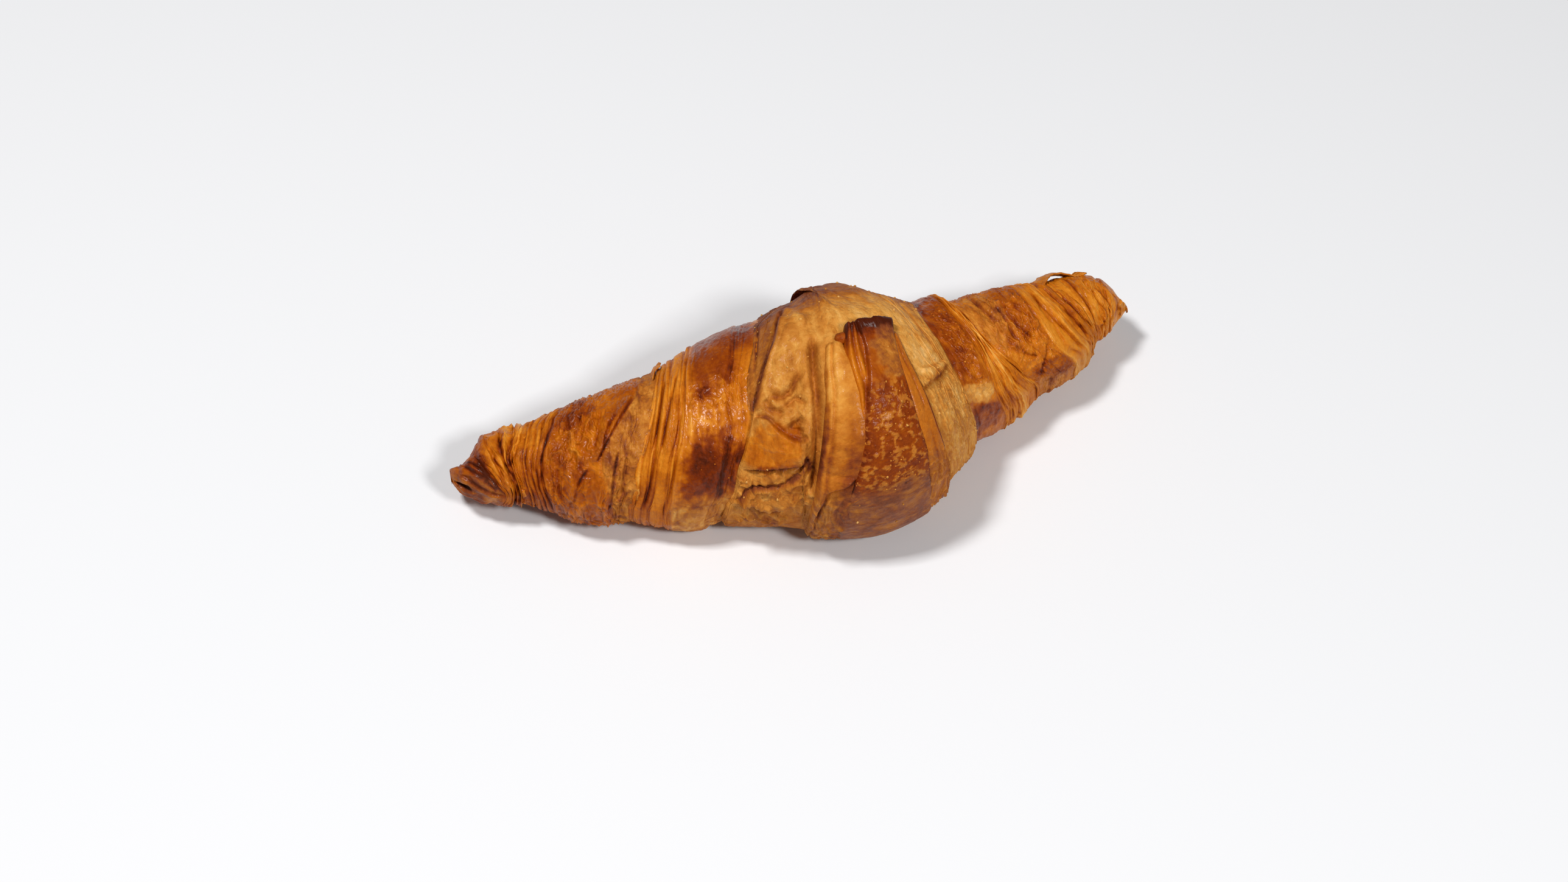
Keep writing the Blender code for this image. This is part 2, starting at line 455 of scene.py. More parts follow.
# %% Crust colours and node helpers
GLAZED = ((0.0, (0.81, 0.38, 0.070)), (0.15, (0.70, 0.265, 0.026)), (0.30, (0.60, 0.188, 0.0095)),
          (0.45, (0.49, 0.128, 0.0034)), (0.60, (0.37, 0.081, 0.0012)), (0.75, (0.25, 0.041, 0.0007)),
          (0.88, (0.155, 0.0195, 0.0006)), (1.0, (0.062, 0.0078, 0.0006)))
DRY = ((0.0, (0.76, 0.45, 0.160)), (0.2, (0.66, 0.33, 0.075)), (0.4, (0.53, 0.215, 0.036)),
       (0.6, (0.39, 0.128, 0.016)), (0.8, (0.22, 0.058, 0.018)), (1.0, (0.09, 0.021, 0.008)))
RELIEF_DEPTH = 0.7 * MM


def feed(tree, node, inputs):
    """Sets or links a node's inputs, by name or by number."""
    for key, value in inputs.items():
        if isinstance(value, bpy.types.NodeSocket):
            tree.links.new(value, node.inputs[key])
        else:
            node.inputs[key].default_value = value
    return node


def add(tree, kind, inputs=None, **settings):
    """A new node, with its plain settings and its inputs."""
    node = tree.nodes.new(kind)
    for key, value in settings.items():
        setattr(node, key, value)
    return feed(tree, node, inputs or {})


def math_node(tree, operation, first, second=0.0, third=0.0, clamp=False):
    values = {0: first, 1: second, 2: third}
    return add(tree, "ShaderNodeMath", values, operation=operation, use_clamp=clamp).outputs[0]


def ramp(tree, value, stops):
    """A colour ramp read at a value."""
    node = add(tree, "ShaderNodeValToRGB", {0: value})
    while len(node.color_ramp.elements) < len(stops):
        node.color_ramp.elements.new(0.5)
    for element, (place, colour) in zip(node.color_ramp.elements, stops):
        element.position = place
        element.color = (*colour, 1.0)
    return node.outputs[0]


def noise_node(tree, vector, scale, detail=3.0, roughness=0.55, distortion=0.0):
    values = {"Vector": vector, "Scale": scale, "Detail": detail, "Roughness": roughness,
              "Distortion": distortion}
    return add(tree, "ShaderNodeTexNoise", values).outputs[0]


def centred(tree, value, gain):
    """Noise about zero, times a gain."""
    return math_node(tree, "MULTIPLY_ADD", value, gain, -0.5 * gain)


def smooth_range(tree, value, low, high, start=0.0, end=1.0):
    values = {0: value, 1: low, 2: high, 3: start, 4: end}
    return add(tree, "ShaderNodeMapRange", values, interpolation_type="SMOOTHSTEP").outputs[0]


def ridges(tree, value, width):
    """1 along the winding lines where noise passes its middle, and 0 beside them."""
    distance = math_node(tree, "ABSOLUTE", centred(tree, value, 1.0))
    return smooth_range(tree, distance, 0.0, width, 1.0, 0.0)


def read(tree, name, output="Fac"):
    return add(tree, "ShaderNodeAttribute", attribute_name=name).outputs[output]


def stretch(tree, vector, scale):
    return add(tree, "ShaderNodeMapping", {"Vector": vector, "Scale": scale}).outputs[0]


def new_material(name):
    """A material made of nodes, and its shader."""
    material = bpy.data.materials.new(name)
    material.use_nodes = True
    return material, material.node_tree.nodes["Principled BSDF"]


# %% [markdown]
# ### Fibres, films and egg wash
# Four patterns break up the two ramps: fine fibres, blotches, torn films and hairline
# cracks between layers. The same patterns drive the relief. The egg wash is a clear coat,
# so that its highlights stay crisp over the duller crust.


# %% Crust material
def crust_material():
    material, shader = new_material("crust")
    tree = material.node_tree
    place = add(tree, "ShaderNodeTexCoord").outputs["Object"]
    grain = read(tree, "grain", "Vector")
    bake, gloss, dry, cut = (read(tree, name) for name in FINISH)
    # thin fibres, blotches, specks and the finest tooth
    threads = noise_node(tree, stretch(tree, grain, (1.0, 0.2, 0.2)), 14.0, 4.0, 0.6, 0.8)
    blotches = noise_node(tree, place, 330.0, 5.0, 0.62, 0.5)
    specks = noise_node(tree, place, 1300.0, 3.0, 0.65)
    # hairline cracks between layers, where the skin says that layers end, sunk and painted darker as shade
    split = noise_node(tree, stretch(tree, grain, (1.0, 0.05, 0.05)), 7.0, 2.0, 0.5, 0.6)
    crack = ridges(tree, split, 0.035)
    torn = math_node(tree, "MULTIPLY", cut, smooth_range(tree, blotches, 0.42, 0.6))
    crack = math_node(tree, "MULTIPLY", crack, torn)
    # films: torn see-through sheets, with an edge where one ends
    sway = add(tree, "ShaderNodeTexNoise", {"Vector": grain, "Scale": 5.0, "Detail": 4.0})
    across = stretch(tree, grain, (1.0, 0.45, 0.45))
    warped = add(tree, "ShaderNodeVectorMath", {0: sway.outputs[1], 1: (0.5, 0.7, 0.7), 2: across},
                 operation="MULTIPLY_ADD")
    film = add(tree, "ShaderNodeTexVoronoi", feature="SMOOTH_F1")
    feed(tree, film, {"Vector": warped.outputs[0], "Scale": 4.0, "Smoothness": 0.12})
    sheets = centred(tree, film.outputs[0], 1.0)
    sheets = math_node(tree, "MULTIPLY", sheets, math_node(tree, "ADD", dry, 0.25))
    # crinkles: fine winding folds that catch the light where the egg wash shines, painted a little paler
    # there as a highlight
    crinkle = noise_node(tree, stretch(tree, grain, (1.0, 0.55, 0.55)), 4.2, 3.0, 0.5, 1.3)
    crinkle = math_node(tree, "MULTIPLY", ridges(tree, crinkle, 0.16), gloss)
    # how brown each spot is, with painted shade and highlights, read on the two ramps
    tone = math_node(tree, "ADD", bake, centred(tree, threads, 0.12))
    for value, gain in ((blotches, 0.26), (specks, 0.22)):
        tone = math_node(tree, "ADD", tone, centred(tree, value, gain))
    # painted light: the cracks are painted darker, as shade, and the crinkles paler, as a highlight
    for value, gain in ((crack, 0.09), (crinkle, -0.03), (sheets, 0.26)):
        tone = math_node(tree, "MULTIPLY_ADD", value, gain, tone)
    dryness = math_node(tree, "ADD", dry, centred(tree, blotches, 0.6), clamp=True)
    colours = {"Factor": dryness, "A": ramp(tree, tone, GLAZED), "B": ramp(tree, tone, DRY)}
    mix = add(tree, "ShaderNodeMix", data_type="RGBA")
    feed(tree, mix, colours)
    tree.links.new(mix.outputs[2], shader.inputs["Base Color"])
    # the egg wash is a clear coat, thinner where the blotches are low
    wear = math_node(tree, "MULTIPLY_ADD", gloss, -0.30, 0.72)
    wear = math_node(tree, "ADD", wear, centred(tree, specks, 0.2))
    tree.links.new(wear, shader.inputs["Roughness"])
    wash = math_node(tree, "MULTIPLY", gloss, smooth_range(tree, blotches, 0.30, 0.62, 0.35, 1.0))
    tree.links.new(math_node(tree, "MULTIPLY", wash, 0.62), shader.inputs["Coat Weight"])
    shader.inputs["Coat Roughness"].default_value = 0.15
    shader.inputs["Coat IOR"].default_value = 1.32
    shader.inputs["Specular IOR Level"].default_value = 0.06
    # the same patterns as relief, gentler in the coat, which fills them
    relief = math_node(tree, "MULTIPLY", threads, 0.28)
    for value, gain in ((blotches, 0.7), (specks, 0.26), (crack, -0.12), (sheets, 0.6), (crinkle, 0.12)):
        relief = math_node(tree, "MULTIPLY_ADD", value, gain, relief)
    for socket, strength in (("Normal", 0.75), ("Coat Normal", 0.25)):
        values = {"Strength": strength, "Distance": RELIEF_DEPTH, "Height": relief}
        tree.links.new(add(tree, "ShaderNodeBump", values).outputs[0], shader.inputs[socket])
    return material


crust = crust_material()
print("crust nodes:", len(crust.node_tree.nodes))

# %% [markdown]
# ## Lines that the turns follow
# Each seam of the roll is a closed line round the body, leaning towards the horn as it
# comes down the front. A seam has a crest, where the skin of the turn ends, and a foot,
# where its cut edge meets the turn below. Between them the stacked layers show.

# %% Seam lines
# each line is {angle round the body in degrees: place along X in mm}
ROLL_END = ring({0: -83.0, 90: -82.6, 115: -80.2, 130: -77.9, 152: -75.8, 165: -74.4, 200: -75.5,
                 300: -80.5})
FAN_LOW = ring({0: -78.5, 60: -76.6, 90: -76.0, 108: -74.6, 124: -73.6, 141: -72.9, 165: -72.3,
                200: -73.0, 300: -76.0})
FAN_HIGH = ring({0: -71.5, 72: -71.0, 98: -72.2, 115: -72.9, 130: -72.4, 150: -71.6, 170: -71.2,
                 200: -71.6, 300: -72.0})
LEFT_OUTER_FOOT = ring({0: -68.0, 72: -69.4, 98: -70.8, 115: -71.6, 130: -71.4, 150: -70.8,
                        170: -70.4, 200: -70.6, 300: -68.5})
LEFT_OUTER_CREST = ring({0: -58.0, 40: -59.5, 70: -61.5, 96: -62.3, 125: -64.0, 158: -63.6,
                         182: -61.9, 240: -61.0, 300: -59.5})
LEFT_FOOT = ring({0: -34.5, 54: -36.0, 90: -38.8, 116: -41.8, 138: -44.2, 160: -45.2, 180: -46.8,
                  220: -46.0, 300: -38.5})
LEFT_CREST = ring({0: -25.0, 52: -26.8, 87: -30.6, 116: -33.0, 140: -36.0, 160: -37.3,
                   180: -38.4, 220: -38.0, 300: -30.0})
BELLY_LEFT_FOOT = ring({0: -8.0, 50: -12.0, 76: -13.6, 99: -16.3, 111: -16.9, 120: -16.6,
                        136: -18.8, 150: -21.4, 168: -23.4, 184: -26.4, 220: -25.0, 300: -15.0})
BELLY_LEFT_CREST = ring({0: 1.0, 54: -4.0, 70: -7.0, 84: -9.0, 102: -13.2, 112: -14.8,
                         121: -16.0, 136: -18.2, 150: -20.8, 168: -22.4, 184: -25.2, 220: -24.0,
                         300: -11.0})
BELLY_RIGHT_CREST = ring({0: 25.5, 76: 26.2, 100: 26.2, 118: 27.4, 135: 29.6, 153: 30.3,
                          180: 31.4, 300: 27.5})
BELLY_RIGHT_FOOT = ring({0: 33.0, 58: 32.0, 72: 31.0, 90: 30.4, 115: 30.2, 140: 30.8, 153: 31.6,
                         180: 33.0, 220: 33.5, 300: 33.0})
RIGHT_CREST = ring({0: 38.6, 50: 38.7, 84: 39.0, 111: 40.0, 137: 40.2, 152: 40.6, 168: 41.6,
                    182: 42.8, 220: 43.0, 300: 40.0})
RIGHT_FOOT = ring({0: 41.6, 50: 42.0, 75: 42.5, 91: 42.9, 104: 43.6, 118: 45.2, 129: 47.0,
                   140: 49.0, 152: 50.4, 170: 53.6, 184: 54.8, 220: 54.0, 300: 46.0})
RIGHT_OUTER_CREST = ring({0: 57.5, 60: 58.6, 96: 58.5, 124: 58.6, 140: 59.5, 165: 62.3,
                          190: 63.0, 240: 62.0, 300: 58.5})
RIGHT_OUTER_FOOT = ring({0: 69.5, 60: 70.5, 98: 70.2, 122: 70.8, 144: 71.6, 160: 72.8, 200: 73.5,
                         300: 71.0})
LEFT_TIP, RIGHT_TIP = -86.3, 86.2
print("turns reach, mm:", RIGHT_TIP - LEFT_TIP)

# %% [markdown]
# ### Skins between lines
# A turn's grid follows its lines, with columns of points between each two of them, so its
# layers run along its edges however these slant. The rows lie closest in front, where
# there is most to show.

# %% Skins between lines
CLOSEST_ROWS = 0.385  # where rows lie closest, as a share of the way round: in front


def rows_of(count):
    """Angles of the rows of a shell, closer in front than under the back."""
    share = np.arange(count) / count
    sway = np.sin(2.0 * np.pi * (share - CLOSEST_ROWS)) + math.sin(2.0 * np.pi * CLOSEST_ROWS)
    return 360.0 * share - 0.5 * math.degrees(1.0) * sway


def constant(place):
    return lambda angle: np.full_like(angle, place)


def shifted(line, *offsets):
    """The same line moved along X, once for each offset."""
    return [lambda angle, by=by: line(angle) + by for by in offsets]


def turn_skin(rows, lines, counts, heights):
    """A skin between lines, with a height at each line, and its column numbers."""
    angles = rows_of(rows)
    along = spread([line(angles) for line in lines], counts)
    skin = Skin(along, np.repeat(angles[:, None], along.shape[1], axis=1))
    column = np.concatenate([k + np.arange(n) / n for k, n in enumerate(counts)] + [[len(counts)]])
    skin.column = np.repeat(column[None, :], rows, axis=0)
    skin.height += smooth_through(np.arange(len(heights)), heights, skin.column)
    return skin


def past(skin, angle, run):
    """1 past an angle on the front, fading out again behind."""
    return after(skin.angle, angle, run) * until(skin.angle, 345.0, 60.0)


def before(skin, angle, run):
    """1 before an angle on the front, fading out low at the back."""
    turned = (skin.angle + 90.0) % 360.0 - 90.0
    return until(turned, angle, run) * after(turned, -60.0, 60.0)


def within(skin, start, end):
    """The share of the way across the columns from start to end, and where that is."""
    share = (skin.column - start) / (end - start)
    return share, (share >= 0.0) & (share <= 1.0)


# %% [markdown]
# ### Layers, strands and wrinkles
# A cut edge shows its layers as ridges with sharp grooves between them. Thin strands run
# beside them, and the skin wrinkled as its steam left. There are hundreds, each a little
# different, so all come from seeded noise that is stretched along the turn.


# %% Layers, strands and wrinkles
def layers(skin, start, end, count, depth, seed, pale=0.2, groove=0.5, wander=0.35, tone=0.25):
    """The cut edge of a turn: uneven layers of dough, with sharp grooves between them."""
    share, inside = within(skin, start, end)
    chance = np.random.default_rng(seed)
    breaks = np.concatenate([[0.0], np.cumsum(chance.uniform(0.45, 1.6, count))])
    drift = wander / count * skin.noise(14.0, 22.0, seed, 2)
    phase = np.interp(share + drift, breaks / breaks[-1], np.arange(count + 1.0))
    layer, across = np.floor(phase), phase % 1.0
    turn = np.radians(skin.angle)
    own = noise(wheel(layer * 3.71, 2.6, turn), seed + 50)
    bulge = np.sin(np.pi * across**0.8) ** 0.55
    ends = faded(share, 0.06) * inside
    skin.height += depth * (bulge - 0.6 + 0.6 * own) * ends
    # painted shade: the grooves between the layers are darker than their pale crests
    colour = pale + groove * (1.0 - bulge) ** 1.6 + tone * own
    skin.bake += (colour - skin.bake) * ends
    skin.cut += 0.85 * ends
    return ends


def strands(skin, start, end, count, depth, width, seed, dark=0.2, skew=0.5):
    """Thin edges that follow a turn, each with its own place, width and run."""
    share, inside = within(skin, start, end)
    columns = np.flatnonzero(inside[0])
    share, along = share[:, columns], skin.along[:, columns]
    span = (along[:, -1:] - along[:, :1]) / max(share[0, -1] - share[0, 0], 1e-6)
    turn = np.radians(skin.angle[:, :1])
    chance = np.random.default_rng(seed)
    for k in range(count):
        place = chance.uniform(0.03, 0.97)
        wide = width * chance.uniform(0.6, 1.5)
        deep = chance.uniform(0.4, 1.2)
        path = wheel(5.3 * k, 1.6, turn)
        centre = place + 0.09 * noise(path, seed) + 0.03 * noise(3.0 * path, seed + 1)
        run = ease(2.2 * noise(1.7 * path, seed + 2) + 0.65) * deep
        gap = (share - centre) * span / wide
        groove = np.exp(-(np.abs(gap) ** 1.4)) * run
        skin.height[:, columns] += depth * groove * (1.9 * skew * gap - (1.0 - skew))
        # painted shade along a sunk strand; a raised one, with negative depth and dark, is painted paler,
        # as a highlight
        skin.bake[:, columns] += dark * groove


def wrinkles(skin, where, size_along, size_around, depth, seed, dark=0.1):
    """Thin skin that has wrinkled as the steam left: winding ridges along the turn."""
    where = np.broadcast_to(where, skin.along.shape)
    near = where > 0.01
    along, angle, where = skin.along[near], skin.angle[near], where[near]
    sway = 1.4 * band_noise(along, angle, 5.0, 7.0, seed, 2)
    wave = band_noise(along + sway, angle, size_along, size_around, seed + 11, 2)
    ridge = np.maximum(1.0 - np.abs(wave) * 3.2, 0.0) ** 1.4
    skin.height[near] += depth * ridge * where
    # painted light: the ridges are painted paler, as highlights, and the troughs darker, as shade
    skin.bake[near] += dark * (0.35 - ridge) * where


def membrane(skin, where, size, seed, tone=0.12, relief=0.1):
    """Torn, see-through films of dough: cloudy streaks with a slight relief."""
    sway = size * skin.noise(2.2 * size, 2.8 * size, seed, 1)
    cloud = band_noise(skin.along + sway, skin.angle, size, 1.7 * size, seed + 4, 3)
    skin.tint(cloud * where, bake=tone, height=relief)


def pillow(skin, centre, size, height):
    """A soft swelling: dough that puffed up."""
    reach = np.hypot((skin.along - centre[0]) / size[0], (skin.angle - centre[1]) / size[1])
    skin.height += height * ease(1.0 - reach)


def unevenness(skin, seed, amount=0.45):
    """Broad lumps and a fine tooth over the whole skin."""
    skin.height += amount * skin.noise(9.0, 11.0, seed, 2)
    skin.height += 0.08 * skin.noise(0.9, 1.4, seed + 3, 2)
    skin.bake += 0.08 * skin.noise(4.0, 7.0, seed + 5, 3)


def draw(skin, painter, *strokes):
    """Several creases, folds or pillows: each stroke is its place, then its settings."""
    for points, *settings in strokes:
        painter(skin, points, *settings)


# %% [markdown]
# ## Loose edges, blisters and crumbs
# Hundreds of small things repeat over the crust, so Geometry Nodes place them. One tree
# turns paths into thin loose edges of dough. The other scatters one small shape over part
# of a turn. Both have named inputs and a fixed seed, both end in Realize Instances and
# Set Material, and their results are kept as plain meshes.

# %% Node trees
def node_tree(name, floats, **others):
    """An empty geometry tree with named inputs, and its input and output nodes."""
    tree = bpy.data.node_groups.new(name, "GeometryNodeTree")
    for side in ("INPUT", "OUTPUT"):
        tree.interface.new_socket(name="Geometry", in_out=side, socket_type="NodeSocketGeometry")
    kinds = {**dict.fromkeys(floats, "Float"), **others, "Material": "Material"}
    for label, kind in kinds.items():
        tree.interface.new_socket(name=label, in_out="INPUT", socket_type="NodeSocket" + kind)
    return tree, add(tree, "NodeGroupInput").outputs, add(tree, "NodeGroupOutput")


def close_tree(tree, ends, geometry, material):
    """The last nodes of every tree."""
    real = add(tree, "GeometryNodeRealizeInstances", {0: geometry}).outputs[0]
    smooth = add(tree, "GeometryNodeSetShadeSmooth", {0: real}).outputs[0]
    dressed = add(tree, "GeometryNodeSetMaterial", {"Geometry": smooth, "Material": material})
    tree.links.new(dressed.outputs[0], ends.inputs[0])
    print(f"{tree.name}: {len(tree.nodes)} nodes")


# %% The tree of loose edges
def edge_tree():
    """Paths in: thin, uneven edges of dough out."""
    tree, given, ends = node_tree("Loose edges", ("Thickness", "Unevenness"))
    path = add(tree, "GeometryNodeMeshToCurve", {0: given[0]}).outputs[0]
    taper = add(tree, "GeometryNodeInputNamedAttribute", {"Name": "taper"}, data_type="FLOAT")
    radius = math_node(tree, "MULTIPLY", taper.outputs[0], given["Thickness"])
    outline = add(tree, "GeometryNodeCurvePrimitiveCircle", {"Resolution": 5, "Radius": 1.0})
    edge = add(tree, "GeometryNodeCurveToMesh", {
        "Curve": path, "Profile Curve": outline.outputs[0], "Scale": radius, "Fill Caps": True})
    push = add(tree, "ShaderNodeTexNoise", {"Scale": 900.0, "Detail": 2.0})
    centre = add(tree, "ShaderNodeVectorMath", {0: push.outputs[1], 1: (0.5, 0.5, 0.5)},
                 operation="SUBTRACT")
    scaled = add(tree, "ShaderNodeVectorMath", operation="SCALE")
    feed(tree, scaled, {0: centre.outputs[0], "Scale": given["Unevenness"]})
    moved = add(tree, "GeometryNodeSetPosition",
                {"Geometry": edge.outputs[0], "Offset": scaled.outputs[0]})
    close_tree(tree, ends, moved.outputs[0], given["Material"])
    return tree


# %% The tree of scattered shapes
def scatter_tree():
    """A surface in: one small shape scattered over it, each at its own size and colour."""
    floats = ("Spacing", "Density", "Smallest", "Largest", "Tilt", "Palest", "Darkest", "Gloss", "Dry")
    tree, given, ends = node_tree("Scatter", floats, Shape="Object", Seed="Int")
    spots = add(tree, "GeometryNodeDistributePointsOnFaces", distribute_method="POISSON")
    feed(tree, spots, {"Mesh": given[0], "Distance Min": given["Spacing"],
                       "Density Max": given["Density"], "Seed": given["Seed"]})
    shape = add(tree, "GeometryNodeObjectInfo", {"Object": given["Shape"]})

    def chance(low, high, step, kind="FLOAT"):
        seed = math_node(tree, "ADD", given["Seed"], step)
        node = add(tree, "FunctionNodeRandomValue", data_type=kind)
        first, result = (0, 0) if kind == "FLOAT_VECTOR" else (2, 1)
        return feed(tree, node, {first: low, first + 1: high, "Seed": seed}).outputs[result]

    size = chance(given["Smallest"], given["Largest"], 1.0)
    whirl = chance((-1.0, -1.0, -3.14), (1.0, 1.0, 3.14), 2.0, "FLOAT_VECTOR")
    tilt = add(tree, "ShaderNodeCombineXYZ", {0: given["Tilt"], 1: given["Tilt"], 2: 1.0})
    lean = add(tree, "ShaderNodeVectorMath", {0: whirl, 1: tilt.outputs[0]}, operation="MULTIPLY")
    laid = add(tree, "GeometryNodeInstanceOnPoints", {
        "Points": spots.outputs["Points"], "Instance": shape.outputs["Geometry"],
        "Rotation": spots.outputs["Rotation"], "Scale": size})
    turned = add(tree, "GeometryNodeRotateInstances", {0: laid.outputs[0], "Rotation": lean.outputs[0]})
    geometry = turned.outputs[0]
    tones = {"bake": chance(given["Palest"], given["Darkest"], 3.0),
             "gloss": given["Gloss"], "dry": given["Dry"]}
    for name, value in tones.items():
        store = add(tree, "GeometryNodeStoreNamedAttribute", data_type="FLOAT", domain="INSTANCE")
        geometry = feed(tree, store, {"Geometry": geometry, "Name": name, "Value": value}).outputs[0]
    close_tree(tree, ends, geometry, given["Material"])
    return tree


def grown(name, host, tree, **values):
    """The plain mesh that a tree makes from a host, which is then removed."""
    modifier = host.modifiers.new("grow", "NODES")
    modifier.node_group = tree
    values["Material"] = crust
    for socket in tree.interface.items_tree:
        if socket.in_out == "INPUT" and socket.name in values:
            modifier[socket.identifier] = values[socket.name]
    evaluated = host.evaluated_get(bpy.context.evaluated_depsgraph_get())
    mesh = bpy.data.meshes.new_from_object(evaluated)
    host.modifiers.remove(modifier)
    mesh.name = name
    bpy.data.objects.remove(host)
    mesh.calc_loop_triangles()
    print(f"{name}: {len(mesh.loop_triangles)} triangles")
    return placed(name, mesh)


# %% [markdown]
# ### Where they grow
# Loose edges follow the columns of a skin, because the columns follow the layers. Blisters
# and crumbs grow on part of a skin, given as a mask over it.

# %% Paths and places
LOOSE = 0.04  # how far a loose edge stands off its skin, mm
SHORTEST_PATH = 6  # points
edge_paths = []


def loosen(skin, start, end, count, seed, tone=-0.08, first=20.0, last=215.0):
    """Paths of loose layer edges, between two columns of a skin and two angles."""
    chance = np.random.default_rng(seed)
    columns = np.flatnonzero((skin.column[0] >= start) & (skin.column[0] <= end))
    for k in range(count):
        middle, reach = chance.uniform(first, last), chance.uniform(8.0, 34.0)
        here = np.flatnonzero(np.abs(skin.angle[:, 0] - middle) < reach)[::2]
        turn = np.radians(skin.angle[here, 0])
        drift = noise(wheel(7.7 * k, 3.0, turn), seed)
        place = chance.uniform(columns[0] + 1, columns[-1] - 1) + 5.0 * drift
        place = np.clip(place, columns[0], columns[-1] - 1)
        low = np.floor(place).astype(int)
        share = place - low

        def at(values):
            return values[here, low] * (1.0 - share) + values[here, low + 1] * share

        if len(here) < SHORTEST_PATH:
            continue
        points = on_body(at(skin.along), skin.angle[here, 0], at(skin.height) + LOOSE, at(skin.shrink))
        taper = np.sin(np.pi * np.linspace(0.02, 0.98, len(here))) ** 0.5 * chance.uniform(0.6, 1.3)
        bake = at(skin.bake) + tone + chance.uniform(-0.08, 0.08)
        edge_paths.append((points, taper, bake, at(skin.gloss), at(skin.dry)))


def edge_host():
    """All paths as one mesh of edges, with their finish."""
    print("loose edges:", len(edge_paths))
    sizes = [len(path[0]) for path in edge_paths]
    points, *finish = (np.concatenate(block) for block in zip(*edge_paths))
    starts = np.cumsum([0] + sizes[:-1])
    edges = np.concatenate([np.stack([np.arange(s, s + n - 1), np.arange(s + 1, s + n)], -1)
                            for s, n in zip(starts, sizes)])
    mesh = bpy.data.meshes.new("paths")
    mesh.from_pydata(points * MM, edges.tolist(), [])
    for key, values in zip(("taper", "bake", "gloss", "dry"), finish):
        attribute = mesh.attributes.new(key, "FLOAT", "POINT")
        attribute.data.foreach_set("value", values.astype(np.float32))
    return placed("paths", mesh)


places = {}


def window(skin, low, high, first=-1.0, last=9.0):
    """A mask of a skin between two angles, and between two columns."""
    return (skin.angle > low) & (skin.angle < high) & (skin.column > first) & (skin.column < last)


def keep_place(name, skin, mask):
    """Part of a skin, kept as a bare surface for the scatter tree."""
    rows, columns = skin.along.shape
    points = on_body(skin.along, skin.angle, skin.height, skin.shrink).reshape(-1, 3)
    index = np.arange(rows * columns).reshape(rows, columns)
    quads = np.stack([index[:-1, :-1], index[1:, :-1], index[1:, 1:], index[:-1, 1:]], -1)
    quads = quads.reshape(-1, 4)
    quads = quads[mask.reshape(-1)[quads[:, 0]] > 0.5]
    used, quads = np.unique(quads, return_inverse=True)
    places.setdefault(name, []).append((points[used], quads.reshape(-1, 4)))


def place_host(name):
    """All the places kept under a name, as one surface."""
    blocks, faces, offset = [], [], 0
    for points, quads in places[name]:
        blocks.append(points)
        faces.append(quads + offset)
        offset += len(points)
    return finish_mesh(name, np.concatenate(blocks), faces, {})


def small_shape(name, seed, flat, jagged):
    """A closed lump, one millimetre wide: a blister when flat, a crumb when jagged."""
    mesh = bpy.data.meshes.new(name)
    lump = bmesh.new()
    bmesh.ops.create_icosphere(lump, subdivisions=1 if jagged > 0.2 else 2, radius=0.5)
    for corner in lump.verts:
        push = 1.0 + jagged * float(noise(np.array([corner.co * 3.0]), seed)[0])
        corner.co = Vector((corner.co.x * push, corner.co.y * push, corner.co.z * push * flat)) * MM
    lump.to_mesh(mesh)
    lump.free()
    return placed(name, mesh)


# %% [markdown]
# ## The left horn
# The horn is the end of the roll. Its layers fan out from low on the front, so the
# columns of the grid turn with them: one ring of layers leans one way, the next the
# other. The very end is a dark, tight roll with a small hollow in it.

